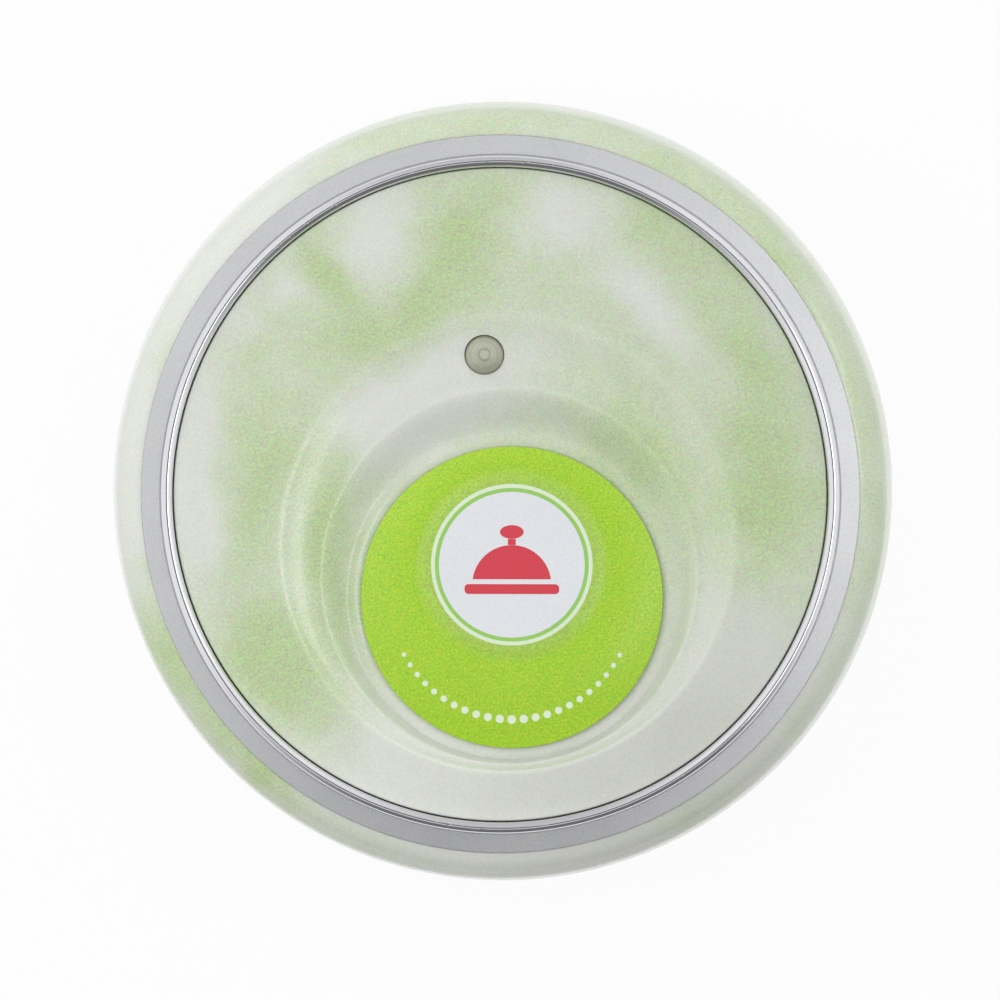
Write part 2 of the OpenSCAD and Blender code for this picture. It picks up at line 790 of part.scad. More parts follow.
module switch_frame() {
    color([0.75, 0.76, 0.78])
    translate([0, -key_shift, frame_z])
    difference() {
        translate([-switch_w / 2, -switch_w / 2, 0])
        cube([switch_w, switch_w, frame_t]);
        translate([0, 0, -cut])
        cylinder(r = stem_r + stem_gap, h = frame_t + 2 * cut);
    }
}

module switch_housing() {
    color([0.12, 0.12, 0.13])
    translate([0, -key_shift, board_top])
    difference() {
        translate([-switch_w / 2, -switch_w / 2, 0])
        cube([switch_w, switch_w, switch_h]);
        translate([0, 0, switch_h - switch_hollow])
        cylinder(r = switch_w / 2 - switch_wall, h = switch_hollow + cut);
    }
}

// A leg against a body's side at x = 0, with its foot on the board
module bent_leg(w, h, foot_l) {
    translate([0, -w / 2, 0])
    union() {
        cube([leg_t, w, h]);
        cube([foot_l, w, leg_t]);
    }
}

module switch_legs() {
    color([0.78, 0.78, 0.76])
    translate([0, -key_shift, board_top])
    for (side = [0, 180], y = [-switch_leg_pitch / 2, switch_leg_pitch / 2]) {
        rotate([0, 0, side])
        translate([switch_w / 2, y, 0])
        bent_leg(switch_leg_w, switch_leg_h, switch_foot_l);
    }
}

module circuit_board() {
    lead_hole_r = lead_w * sqrt(2) / 2 + wire_gap;
    color([0.1, 0.4, 0.22])
    difference() {
        translate([0, 0, board_z])
        cylinder(r = board_r, h = board_t);
        at_posts()
        translate([0, 0, board_z - cut])
        cylinder(r = post_r + post_hole_gap, h = board_t + 2 * cut);
        at_board_screws()
        translate([0, 0, board_z - cut])
        cylinder(r = board_screw_r + board_screw_gap, h = board_t + 2 * cut);
        for (side = [-1, 1]) {
            translate([side * lead_pitch / 2, lamp_shift, board_z - cut])
            cylinder(r = lead_hole_r, h = board_t + 2 * cut);
            rotate([0, 0, 90 + side * aerial_half])
            translate([aerial_r, 0, board_z - cut])
            cylinder(r = aerial_leg_r + wire_gap, h = board_t + 2 * cut);
        }
    }
}

module encoder_chip() {
    color([0.1, 0.1, 0.1])
    translate([-chip_x - chip_w / 2, chip_y - chip_l / 2, board_top + chip_lift])
    cube([chip_w, chip_l, chip_h]);
}

module encoder_legs() {
    color([0.78, 0.78, 0.76])
    translate([-chip_x, chip_y, board_top])
    for (side = [0, 180], i = [0:chip_pins - 1]) {
        rotate([0, 0, side])
        translate([chip_w / 2, (i - (chip_pins - 1) / 2) * chip_pitch, 0])
        bent_leg(chip_leg_w, chip_leg_h, chip_foot_l);
    }
}

// Ceramic body with a metal lid
module resonator_can() {
    lid_w = can_w - 2 * can_lid_inset;
    color([0.8, 0.79, 0.74])
    translate([chip_x, can_y, board_top])
    union() {
        translate([-can_w / 2, -can_w / 2, 0])
        cube([can_w, can_w, can_h]);
        translate([-lid_w / 2, -lid_w / 2, 0])
        cube([lid_w, lid_w, can_h + can_lid_t]);
    }
}

// Body on three flat legs, two in front and one behind
module transistor() {
    color([0.14, 0.14, 0.15])
    translate([transistor_x, transistor_y, board_top])
    union() {
        translate([-transistor_l / 2, -transistor_w / 2, transistor_lift])
        cube([transistor_l, transistor_w, transistor_h]);
        for (x = [-transistor_pitch, transistor_pitch]) {
            translate([x - chip_leg_w / 2, -transistor_span / 2, 0])
            cube([chip_leg_w, transistor_span / 2, leg_t]);
        }
        translate([-chip_leg_w / 2, 0, 0])
        cube([chip_leg_w, transistor_span / 2, leg_t]);
    }
}

// A row of small parts on the board, from (x, y) along Y in the sense of step
module small_row(x, y, step, h) {
    for (i = [0:row_parts - 1]) {
        translate([x - small_l / 2, y + i * step - small_w / 2, board_top])
        cube([small_l, small_w, h]);
    }
}

module chip_resistors() {
    color([0.16, 0.15, 0.15])
    union() {
        small_row(-side_row_x, -side_row_y, -row_pitch, resistor_h);
        small_row(-back_row_x, back_row_y, row_pitch, resistor_h);
    }
}

module chip_capacitors() {
    color([0.66, 0.52, 0.36])
    small_row(side_row_x, -side_row_y, -row_pitch, capacitor_h);
}

module antenna_loop() {
    color([0.8, 0.65, 0.3])
    union() {
        translate([0, 0, board_top + aerial_h])
        rotate([0, 0, 90 - aerial_half])
        rotate_extrude(angle = 2 * aerial_half)
        translate([aerial_r, 0])
        circle(r = wire_r);
        for (side = [-1, 1]) {
            rotate([0, 0, 90 + side * aerial_half])
            translate([aerial_r, 0, board_z])
            cylinder(r = aerial_leg_r, h = board_t + aerial_h + aerial_leg_r);
        }
    }
}

module coin_cell() {
    can_edge = 0.2;
    cap_inset = 1.2;
    cap_rise = 0.4;
    color([0.8, 0.8, 0.8])
    translate([0, 0, cell_z])
    rotate_extrude()
    polygon([
        [0, 0],
        [cell_r - can_edge, 0],
        [cell_r, can_edge],
        [cell_r, cell_h - cap_rise - can_edge],
        [cell_r - can_edge, cell_h - cap_rise],
        [cell_r - cap_inset, cell_h - cap_rise],
        [cell_r - cap_inset - can_edge, cell_h],
        [0, cell_h]
    ]);
}

// Bent leaf between the board and the cell's cap
module cell_contact_top() {
    pad_z = board_z - strip_t;
    low_z = cell_z + cell_h + touch_gap;
    lower = [
        [-leaf_l, pad_z],
        [leaf_pad_l - leaf_l, pad_z],
        [-leaf_tip_l / 2, low_z],
        [leaf_tip_l / 2, low_z],
        [leaf_tip_l * 3 / 2, (low_z + pad_z) / 2]
    ];
    upper = [for (i = [len(lower) - 1:-1:0]) lower[i] + [0, strip_t]];
    color([0.82, 0.8, 0.74])
    rotate([90, 0, 0])
    translate([0, 0, -strip_w / 2])
    linear_extrude(strip_w)
    polygon(concat(lower, upper));
}

// Upright clip that touches the cell's rim, soldered under the board
module cell_contact_side() {
    clip_x = cell_r + touch_gap;
    clip_z = cell_z + strip_t + clip_room;
    color([0.82, 0.8, 0.74])
    translate([clip_x, -strip_w / 2, 0])
    union() {
        translate([0, 0, clip_z])
        cube([strip_t, strip_w, board_z - clip_z]);
        translate([0, 0, board_z - strip_t])
        cube([clip_foot_l, strip_w, strip_t]);
    }
}

module battery_door() {
    color([0.88, 0.88, 0.82])
    difference() {
        union() {
            translate([0, 0, door_z])
            cylinder(r = door_r, h = door_t);
            translate([0, 0, door_z])
            cylinder(r = neck_r, h = door_top - door_z);
            for (i = [0:lugs - 1]) {
                a = lug_start + 360 * i / lugs;
                ring_sector(neck_r - cut, lug_r, lug_z, door_top, a - lug_angle / 2, a + lug_angle / 2);
            }
        }
        flat_ring(seal_mid_r - seal_r - seal_gap, seal_mid_r + seal_r + seal_gap,
            groove_z, door_z + door_t + cut);
        translate([0, 0, door_z + door_web_t])
        cylinder(r = neck_r - door_rest_w, h = door_top);
        translate([-coin_l / 2, -coin_w / 2, door_z - cut])
        cube([coin_l, coin_w, coin_depth + cut]);
    }
}

module door_seal() {
    color([0.12, 0.12, 0.12])
    translate([0, 0, groove_z + seal_gap / 2 + seal_r])
    rotate_extrude()
    translate([seal_mid_r, 0])
    circle(r = seal_r);
}

module base_cover() {
    pilot_depth = board_screw_l + pilot_over;
    color([0.9, 0.9, 0.85])
    difference() {
        union() {
            translate([0, 0, base_z])
            cylinder(r = base_r, h = base_t);
            translate([0, 0, base_z])
            cylinder(r = lug_room_r + housing_t, h = well_floor + well_roof_t - base_z);
            translate([0, 0, base_z])
            cylinder(r = well_r + well_t, h = well_top - base_z);
            for (i = [0:3]) {
                rotate([0, 0, 90 * i])
                translate([board_screw_shift, 0, base_z])
                cylinder(r = board_post_r, h = board_z - base_z);
            }
        }
        rotate_extrude()
        polygon([
            [0, base_z - cut],
            [door_seat_r, base_z - cut],
            [door_seat_r, door_roof],
            [neck_hole_r, door_roof],
            [neck_hole_r, well_floor],
            [well_r, well_floor],
            [well_r, board_z],
            [0, board_z]
        ]);
        for (i = [0:lugs - 1]) {
            a = lug_start + 360 * i / lugs;
            half = lug_angle / 2 + lug_slack;
            ring_sector(neck_r, lug_room_r, base_top, well_floor, a - door_turn - half, a + half);
            ring_sector(neck_r, lug_room_r, door_roof - cut, lug_z,
                a - door_turn - half, a - door_turn + half);
        }
        flat_ring(foot_r - foot_w / 2 - foot_gap, foot_r + foot_w / 2 + foot_gap,
            base_z - cut, base_z + foot_groove);
        at_posts()
        translate([0, 0, base_z - cut])
        cylinder(r = screw_r + screw_gap, h = base_t + 2 * cut);
        at_posts()
        translate([0, 0, base_z - cut])
        cylinder(r = screw_head_r + screw_gap, h = screw_sink + cut);
        at_board_screws()
        translate([0, 0, board_z - pilot_depth])
        cylinder(r = board_screw_r + thread_gap, h = pilot_depth + cut);
        translate([cell_r - cut, -strip_w / 2 - clip_room, cell_z + strip_t])
        cube([well_t + 2 * cut, strip_w + 2 * clip_room, board_z]);
    }
}

module non_slip_ring() {
    color([0.16, 0.16, 0.16])
    flat_ring(foot_r - foot_w / 2, foot_r + foot_w / 2, 0, base_z + foot_groove);
}

// Cross recess in a screw's head, cut downwards from z = 0
module cross_recess(reach) {
    for (a = [0, 90]) {
        rotate([0, 0, a])
        translate([-reach, -cross_w / 2, -cross_depth])
        cube([2 * reach, cross_w, cross_depth + cut]);
    }
}

module case_screws() {
    color([0.7, 0.7, 0.72])
    at_posts()
    difference() {
        union() {
            translate([0, 0, head_z])
            cylinder(r = screw_head_r, h = screw_head_h);
            translate([0, 0, head_z])
            cylinder(r = screw_r, h = screw_head_h + screw_l);
        }
        translate([0, 0, head_z])
        mirror([0, 0, 1])
        cross_recess(screw_head_r - cross_inset);
    }
}

module board_screws() {
    color([0.7, 0.7, 0.72])
    at_board_screws()
    difference() {
        union() {
            translate([0, 0, board_top])
            cylinder(r = board_head_r, h = board_head_h);
            translate([0, 0, board_z - board_screw_l])
            cylinder(r = board_screw_r, h = board_screw_l + board_t + board_head_h / 2);
        }
        translate([0, 0, board_top + board_head_h])
        cross_recess(board_head_r - cross_inset);
    }
}

outer_shell();
trim_ring();
top_panel();
panel_gasket();
key_cap();
key_label();
indicator_led();
led_leads();
switch_plunger();
switch_dome();
switch_frame();
switch_housing();
switch_legs();
circuit_board();
encoder_chip();
encoder_legs();
resonator_can();
transistor();
chip_resistors();
chip_capacitors();
antenna_loop();
coin_cell();
cell_contact_top();
cell_contact_side();
battery_door();
door_seal();
base_cover();
non_slip_ring();
case_screws();
board_screws();
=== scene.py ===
import math

import bmesh
import bpy
from mathutils import Matrix, Vector


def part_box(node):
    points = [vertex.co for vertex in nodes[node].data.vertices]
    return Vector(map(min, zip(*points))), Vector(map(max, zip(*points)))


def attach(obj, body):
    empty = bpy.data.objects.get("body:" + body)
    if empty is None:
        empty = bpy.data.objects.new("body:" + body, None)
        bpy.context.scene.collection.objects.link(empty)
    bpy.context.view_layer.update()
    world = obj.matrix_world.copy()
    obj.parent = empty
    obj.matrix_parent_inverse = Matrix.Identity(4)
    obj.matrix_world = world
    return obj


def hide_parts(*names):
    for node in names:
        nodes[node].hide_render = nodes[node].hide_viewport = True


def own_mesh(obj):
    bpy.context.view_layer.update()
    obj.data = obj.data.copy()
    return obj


# A waiter call button seen from above: a marbled plastic puck with a plated trim ring, a bowl in its
# top panel, a round green key in the bowl and a small milky lamp above the key.

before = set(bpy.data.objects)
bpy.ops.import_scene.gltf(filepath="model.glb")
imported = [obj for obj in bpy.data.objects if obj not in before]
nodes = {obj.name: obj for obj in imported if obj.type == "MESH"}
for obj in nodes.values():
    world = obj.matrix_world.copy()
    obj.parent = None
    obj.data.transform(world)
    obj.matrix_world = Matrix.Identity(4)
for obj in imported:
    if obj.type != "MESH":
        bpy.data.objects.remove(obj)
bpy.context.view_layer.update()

# ---------------------------------------------------------------------------------------------------
# Sizes in millimetres, in the frame of the CAD model
# ---------------------------------------------------------------------------------------------------

MM = 0.001
FULL_TURN = 2 * math.pi
ROUND_STEPS = 256
SMALL_STEPS = 96
MERGE_DISTANCE = 0.0005

CASE_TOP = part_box("trim_ring")[1].z / MM
PANEL_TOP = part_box("top_panel")[1].z / MM
KEY_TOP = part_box("key_cap")[1].z / MM
LAMP_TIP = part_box("indicator_led")[1].z / MM
LAMP_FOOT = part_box("indicator_led")[0].z / MM

KEY_Y = -7.9
LAMP_Y = 10.7
UPRIGHT_TURN = 6.4

# The dressed panel, label, key lip and lamp hole leave narrower gaps than the solids, as photographed
PANEL_T = 1.4
PANEL_R = 24.77
PANEL_EDGE_R = 0.16
PANEL_RIM_R = 23.4
FLANGE_R = 26.55
SEAT_Z = 18.1
FLANGE_Z = 17.3

RIM_R, RIM_Y = 17.3, -3.7
SHELF_R, SHELF_Y, SHELF_Z = 14.3, -6.2, 18.7
FLOOR_R, FLOOR_Z = 12.4, 17.4
KEY_HOLE_R, KEY_LIP_R = 11.6, 11.505
LAMP_R, LAMP_HOLE_R = 1.5, 1.515

RING_R = 27.29
BAND_IN_R = 25.75
BEAD_IN_R = 24.85
SEAM_Z = 18.7
BAND_IN_Z = 19.0

LABEL_R = 11.49
LABEL_T = 0.25
RAISED_R = 7.4
RAISED_T = 0.12
RAISED_Y = 2.5
INK_T = 0.012
INK_LIFT = 0.004


# ---------------------------------------------------------------------------------------------------
# Mesh tools
# ---------------------------------------------------------------------------------------------------

def mm(*values):
    """A point given in millimetres, in metres."""
    return Vector([v * MM for v in values])


def turned(angle, x=0, y=0, z=0):
    """A turn about the vertical through a point given in millimetres, after a move to that point."""
    return Matrix.Translation(mm(x, y, z)) @ Matrix.Rotation(math.radians(angle), 4, "Z")


def finished(name, bm, finishes, body, stands_for=(), sharp=32):
    """The piece that a bmesh holds: merged, facing outwards, smooth up to the sharp angle."""
    bmesh.ops.remove_doubles(bm, verts=bm.verts, dist=MERGE_DISTANCE * MM)
    bmesh.ops.recalc_face_normals(bm, faces=bm.faces)
    mesh = bpy.data.meshes.new(name)
    bm.to_mesh(mesh)
    bm.free()
    return placed(name, mesh, finishes, body, stands_for, sharp)


def placed(name, mesh, finishes, body, stands_for=(), sharp=32):
    """A mesh as a piece of the object, on its body."""
    piece = bpy.data.objects.new(name, mesh)
    bpy.context.scene.collection.objects.link(piece)
    if not mesh.materials:
        for finish in finishes:
            mesh.materials.append(finish)
    mesh.shade_smooth()
    mesh.set_sharp_from_angle(angle=math.radians(sharp))
    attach(piece, body)
    if stands_for:
        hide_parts(*stands_for)
    return piece


def spun(bm, section, steps=ROUND_STEPS, place=None, closed=True):
    """Spins a section of (radius, height) points round the vertical."""
    verts = [bm.verts.new(mm(r, 0, z)) for r, z in section]
    ends = verts[1:] + verts[:1] if closed else verts[1:]
    edges = [bm.edges.new(pair) for pair in zip(verts, ends)]
    made = bmesh.ops.spin(bm, geom=verts + edges, cent=(0, 0, 0), axis=(0, 0, 1), angle=FULL_TURN,
                          steps=steps, use_merge=True)
    bmesh.ops.remove_doubles(bm, verts=bm.verts, dist=MERGE_DISTANCE * MM)
    if place is not None:
        bmesh.ops.transform(bm, matrix=place, verts=bm.verts)
    return made


def arc(x, z, r, start, end, steps):
    """Points of an arc in a section."""
    turns = [math.radians(start + (end - start) * i / steps) for i in range(steps + 1)]
    return [(x + r * math.cos(a), z + r * math.sin(a)) for a in turns]


def circle(bm, r, y, z, steps=ROUND_STEPS):
    """The edges of a level circle with its centre at (0, y, z)."""
    made = bmesh.ops.create_circle(bm, segments=steps, radius=r * MM,
                                   matrix=Matrix.Translation(mm(0, y, z)))
    return list({edge for vert in made["verts"] for edge in vert.link_edges})


def lofted(bm, circles, closed=False):
    """A surface through circles of (radius, y, z) in their order: each is extruded from the last.
    Returns the edges of the first and of the last circle."""
    radius, y, z = circles[0]
    first = rim = circle(bm, radius, y, z)
    for next_radius, next_y, next_z in circles[1:] + (circles[:1] if closed else []):
        made = bmesh.ops.extrude_edge_only(bm, edges=rim)["geom"]
        verts = {item for item in made if isinstance(item, bmesh.types.BMVert)}
        rim = [item for item in made if isinstance(item, bmesh.types.BMEdge)
               and verts.issuperset(item.verts)]
        move = (Matrix.Translation(mm(0, next_y, next_z)) @ Matrix.Scale(next_radius / radius, 4)
                @ Matrix.Translation(-mm(0, y, z)))
        bmesh.ops.transform(bm, matrix=move, verts=list(verts))
        radius, y, z = next_radius, next_y, next_z
    bmesh.ops.remove_doubles(bm, verts=bm.verts, dist=MERGE_DISTANCE * MM)
    return first, rim


def post(bm, r, z0, z1, x=0, y=0, steps=SMALL_STEPS):
    """A round post between two heights."""
    place = Matrix.Translation(mm(x, y, (z0 + z1) / 2))
    bmesh.ops.create_cone(bm, cap_ends=True, segments=steps, radius1=r * MM, radius2=r * MM,
                          depth=(z1 - z0) * MM, matrix=place)


def combined(mesh, tools, operation):
    """The mesh after a boolean with another one made by the function tools."""
    scene = bpy.context.scene
    base = bpy.data.objects.new("combined_base", mesh)
    other_mesh = bpy.data.meshes.new("combined_tool")
    bm = bmesh.new()
    tools(bm)
    bmesh.ops.recalc_face_normals(bm, faces=bm.faces)
    bm.to_mesh(other_mesh)
    bm.free()
    other = bpy.data.objects.new("combined_tool", other_mesh)
    scene.collection.objects.link(base)
    scene.collection.objects.link(other)
    modifier = base.modifiers.new("combine", "BOOLEAN")
    modifier.object = other
    modifier.operation = operation
    modifier.solver = "EXACT"
    modifier.use_self = operation == "UNION"
    graph = bpy.context.evaluated_depsgraph_get()
    result = bpy.data.meshes.new_from_object(base.evaluated_get(graph))
    for thing in (base, other):
        bpy.data.objects.remove(thing)
    return result


# ---------------------------------------------------------------------------------------------------
# Shader tools
# ---------------------------------------------------------------------------------------------------

def srgb(red, green, blue):
    """A colour written as on a screen, 0 to 255, as the linear colour of a shader."""
    def linear(value):
        share = value / 255
        return share / 12.92 if share <= 0.04045 else ((share + 0.055) / 1.055) ** 2.4
    return (linear(red), linear(green), linear(blue), 1)


def node(tree, kind, inputs=None, **settings):
    """A shader node with its settings and inputs, which are values or other nodes' sockets."""
    made = tree.nodes.new("ShaderNode" + kind)
    for name, value in settings.items():
        setattr(made, name, value)
    for key, value in (inputs or {}).items():
        if isinstance(value, bpy.types.NodeSocket):
            tree.links.new(value, made.inputs[key])
        else:
            made.inputs[key].default_value = value
    return made


def maths(tree, operation, *values, clamp=False):
    """The result of a Math node."""
    return node(tree, "Math", dict(enumerate(values)), operation=operation, use_clamp=clamp).outputs[0]


def mixed(tree, share, one, other, blend="MIX"):
    """The colour between two colours at a share."""
    return node(tree, "Mix", {0: share, 6: one, 7: other}, data_type="RGBA",
                blend_type=blend).outputs[2]


def ranged(tree, value, low, high, to_low=0, to_high=1, smooth=False):
    """A value's range mapped on another one."""
    kind = "SMOOTHSTEP" if smooth else "LINEAR"
    return node(tree, "MapRange", {0: value, 1: low, 2: high, 3: to_low, 4: to_high},
                interpolation_type=kind).outputs[0]


def noise(tree, place, scale, detail=2, rough=0.5):
    """The value of a noise texture."""
    return node(tree, "TexNoise", {"Vector": place, "Scale": scale, "Detail": detail,
                                   "Roughness": rough}).outputs["Fac"]


def new_group(name, inputs, outputs):
    """An empty shader group with its sockets, and its input and output nodes."""
    group = bpy.data.node_groups.new(name, "ShaderNodeTree")
    for label, kind, value in inputs:
        socket = group.interface.new_socket(label, in_out="INPUT", socket_type="NodeSocket" + kind)
        if value is not None:
            socket.default_value = value
    for label, kind in outputs:
        group.interface.new_socket(label, in_out="OUTPUT", socket_type="NodeSocket" + kind)
    ends = group.nodes.new("NodeGroupInput"), group.nodes.new("NodeGroupOutput")
    return group, *ends


def placed_group(tree, group, inputs):
    """A shader group placed in a material with its own values."""
    made = tree.nodes.new("ShaderNodeGroup")
    made.node_tree = group
    for key, value in inputs.items():
        if isinstance(value, bpy.types.NodeSocket):
            tree.links.new(value, made.inputs[key])
        else:
            made.inputs[key].default_value = value
    return made


def finish(name, **values):
    """A material with a Principled shader: the material, its tree, the shader and its coordinates."""
    material = bpy.data.materials.new(name)
    material.use_nodes = True
    tree = material.node_tree
    shader = tree.nodes["Principled BSDF"]
    for key, value in values.items():
        shader.inputs[key.replace("_", " ")].default_value = value
    place = node(tree, "TexCoord").outputs["Object"]
    return material, tree, shader, place


def bumped(tree, shader, height, depth, strength=1.0):
    """Gives a material its relief from a height; depth is in millimetres."""
    bump = node(tree, "Bump", {"Height": height, "Strength": strength, "Distance": depth * MM})
    tree.links.new(bump.outputs["Normal"], shader.inputs["Normal"])


# ---------------------------------------------------------------------------------------------------
# Shared effects
# ---------------------------------------------------------------------------------------------------

def make_mottle():
    """Cloudy tone and fine speckle that moulded or printed surfaces have, and their relief."""
    group, start, end = new_group(
        "mottle",
        [("Colour", "Color", (0.8, 0.8, 0.8, 1)), ("Place", "Vector", None),
         ("Cloud Size", "Float", 4.0), ("Cloud", "Float", 0.04),
         ("Speck Size", "Float", 0.15), ("Speck", "Float", 0.03), ("Roughness", "Float", 0.4)],
        [("Colour", "Color"), ("Height", "Float"), ("Roughness", "Float")])
    value = start.outputs
    clouds = noise(group, value["Place"], maths(group, "DIVIDE", 1 / MM, value["Cloud Size"]), 3)
    speck_scale = maths(group, "DIVIDE", 1 / MM, value["Speck Size"])
    specks = node(group, "TexNoise", {"Vector": value["Place"], "Scale": speck_scale, "Detail": 1.0})
    tone = maths(group, "MULTIPLY", maths(group, "SUBTRACT", clouds, 0.5), value["Cloud"])
    grey = maths(group, "MULTIPLY", maths(group, "SUBTRACT", specks.outputs["Fac"], 0.5), value["Speck"])
    level = maths(group, "ADD", maths(group, "ADD", tone, grey), 1.0)
    tinted = mixed(group, maths(group, "MULTIPLY", value["Speck"], 1.5), (1, 1, 1, 1),
                   node(group, "HueSaturation", {"Color": specks.outputs["Color"], "Value": 2.0,
                                                 "Saturation": 1.4}).outputs[0])
    shaded = node(group, "VectorMath", {0: value["Colour"], "Scale": level}, operation="SCALE")
    coloured = mixed(group, 1.0, shaded.outputs[0], tinted, "MULTIPLY")
    group.links.new(coloured, end.inputs["Colour"])
    group.links.new(specks.outputs["Fac"], end.inputs["Height"])
    rough = maths(group, "ADD", value["Roughness"],
                  maths(group, "MULTIPLY", maths(group, "SUBTRACT", clouds, 0.5), 0.12))
    group.links.new(rough, end.inputs["Roughness"])
    return group


def make_round_lines():
    """Fine turning lines round the object's axis, for the brushed trim."""
    group, start, end = new_group(
        "round_lines",
        [("Place", "Vector", None), ("Line Width", "Float", 0.06), ("Patch Turns", "Float", 3.0)],
        [("Lines", "Float"), ("Patches", "Float")])
    apart = node(group, "SeparateXYZ", {0: start.outputs["Place"]}).outputs
    radius = maths(group, "SQRT", maths(group, "ADD", maths(group, "MULTIPLY", apart[0], apart[0]),
                                        maths(group, "MULTIPLY", apart[1], apart[1])))
    angle = maths(group, "ARCTAN2", apart[1], apart[0])
    across = maths(group, "DIVIDE", radius, maths(group, "MULTIPLY", start.outputs["Line Width"], MM))
    along = node(group, "CombineXYZ", {0: across, 1: maths(group, "MULTIPLY", angle, 6.0)}).outputs[0]
    lines = noise(group, along, 1.0, 2)
    round_about = node(group, "CombineXYZ", {0: maths(group, "COSINE", angle),
                                             1: maths(group, "SINE", angle)}).outputs[0]
    patches = noise(group, round_about, start.outputs["Patch Turns"], 2)
    group.links.new(lines, end.inputs["Lines"])
    group.links.new(patches, end.inputs["Patches"])
    return group


def make_handling():
    """Faint smudges and hair scratches from use, as a share that roughness and relief take."""
    group, start, end = new_group(
        "handling",
        [("Place", "Vector", None), ("Size", "Float", 6.0)],
        [("Smudge", "Float"), ("Scratch", "Float")])
    place = start.outputs["Place"]
    scale = maths(group, "DIVIDE", 1 / MM, start.outputs["Size"])
    smudge = ranged(group, noise(group, place, scale, 4, 0.6), 0.45, 0.7, smooth=True)
    stretched = node(group, "Mapping", {"Vector": place, "Rotation": (0, 0, 0.6),
                                        "Scale": (1, 14, 1)}).outputs[0]
    scratch = ranged(group, noise(group, stretched, maths(group, "MULTIPLY", scale, 4.0), 2), 0.68, 0.72)
    group.links.new(smudge, end.inputs["Smudge"])
    group.links.new(scratch, end.inputs["Scratch"])
    return group


MOTTLE = make_mottle()
ROUND_LINES = make_round_lines()
HANDLING = make_handling()


def plain_finish(name, colour, roughness, cloud=0.05, cloud_size=4.0, speck=0.04, speck_size=0.15,
                 relief=0.004, **values):
    """A mottled finish with handling marks, for the pieces whose colour is even."""
    material, tree, shader, place = finish(name, **values)
    mottle = placed_group(tree, MOTTLE, {"Colour": colour, "Place": place, "Cloud Size": cloud_size,
                                         "Cloud": cloud, "Speck Size": speck_size, "Speck": speck,
                                         "Roughness": roughness})
    marks = placed_group(tree, HANDLING, {"Place": place})
    rough = maths(tree, "ADD", mottle.outputs["Roughness"],
                  maths(tree, "MULTIPLY", marks.outputs["Smudge"], 0.06), clamp=True)
    tree.links.new(mottle.outputs["Colour"], shader.inputs["Base Color"])
    tree.links.new(rough, shader.inputs["Roughness"])
    height = maths(tree, "SUBTRACT", mottle.outputs["Height"],
                   maths(tree, "MULTIPLY", marks.outputs["Scratch"], 0.5))
    bumped(tree, shader, height, relief)
    return material


# ---------------------------------------------------------------------------------------------------
# Marbled plastic
# ---------------------------------------------------------------------------------------------------

IVORY = srgb(223, 226, 217)
# The darker ivory below is painted shade: it is mixed in by distance from a point at the lower right, for the
# light's fall-off there
IVORY_PAINTED_SHADE = srgb(209, 211, 202)
PAINTED_SHADE_PLACE, PAINTED_SHADE_SIZE = (15.0, -21.0, 0.0), 25.0
MARBLE_GREEN = srgb(192, 211, 162)

DRIFT_SCALE, DRIFT_REACH = 0.16, 5.0
CLOUD_REACH, CLOUD_GAIN = 1.5, 1.7
WISP_SCALE, WISP_GAIN = 0.3, 0.7
GREEN_BASE, GREEN_LOW, GREEN_HIGH = 0.5, -0.15, 1.2

# Clouds of the marbling in the upright frame: x, y, half length, half width, angle, strength
GREEN_CLOUDS = {
    "top_middle": (-3.1, 18.8, 8.0, 4.2, 60, 0.45),
    "top_trail": (-8.5, 12.7, 6.5, 3.2, 30, 0.35),
    "top_left_streak": (-13.1, 16.5, 5.2, 1.7, -60, 0.45),
    "left": (-18.3, 1.1, 8.6, 3.8, 79, 0.3),
    "bowl_left": (-13.1, -3.4, 9.0, 2.9, 95, 0.6),
    "lower_left": (-16.9, -13.5, 7.8, 4.4, -48, 0.65),
    "right": (20.4, 0.3, 6.8, 4.8, 100, 0.55),
    "right_top": (18.9, 9.8, 7.6, 3.8, 110, 0.35),
    "upper_right": (12.3, 20.0, 7.4, 3.6, -35, 0.25),
    "beside_bowl": (10.8, 2.7, 7.0, 3.8, -52, 0.4),
    "skirt_top": (-0.4, 28.2, 4.0, 1.4, 0, 0.1),
    "skirt_right_first": (12.9, 24.3, 6.5, 1.6, -28, 0.15),
    "skirt_right_second": (21.1, 17.7, 6.5, 1.6, -50, 0.35),
    "skirt_right_third": (26.6, 7.1, 6.5, 1.6, -75, 0.15),
    "skirt_right_low": (28.6, -2.5, 6.0, 1.9, 90, 0.1),
    "skirt_left_low": (-24.6, -13.1, 6.0, 1.7, -62, 0.5),
    "skirt_left_lower": (-18.6, -20.7, 6.0, 1.6, -42, 0.65),
    "skirt_top_left": (-17.2, 22.0, 4.2, 1.3, 38, 0.2),
}
IVORY_CLOUDS = {
    "upper_left": (-9.6, 20.0, 5.4, 3.2, 98, 0.5),
    "upper_left_small": (-16.2, 15.4, 2.4, 1.8, 0, 0.35),
    "top_right": (4.2, 21.5, 4.8, 3.6, 0, 0.5),
    "diagonal": (11.6, 14.2, 8.0, 2.1, -50, 0.4),
    "left_rim": (-22.9, 1.1, 9.4, 2.8, 92, 0.9),
    "left_upper_rim": (-20.4, 12.7, 4.4, 2.6, 60, 0.25),
    "below_lamp": (-5.6, 7.0, 9.2, 4.8, 28, 0.85),
    "bottom": (1.5, -21.2, 20.0, 8.5, 0, 0.8),
    "lower_right": (18.5, -14.3, 8.5, 8.0, 30, 0.65),
    "skirt_left": (-28.6, 3.0, 14.0, 3.0, 88, 0.9),
    "skirt_bottom": (5.0, -28.6, 16.0, 2.6, 0, 0.35),
    "skirt_upper_left": (-20.5, 19.5, 10.5, 3.4, 45, 0.9),
}


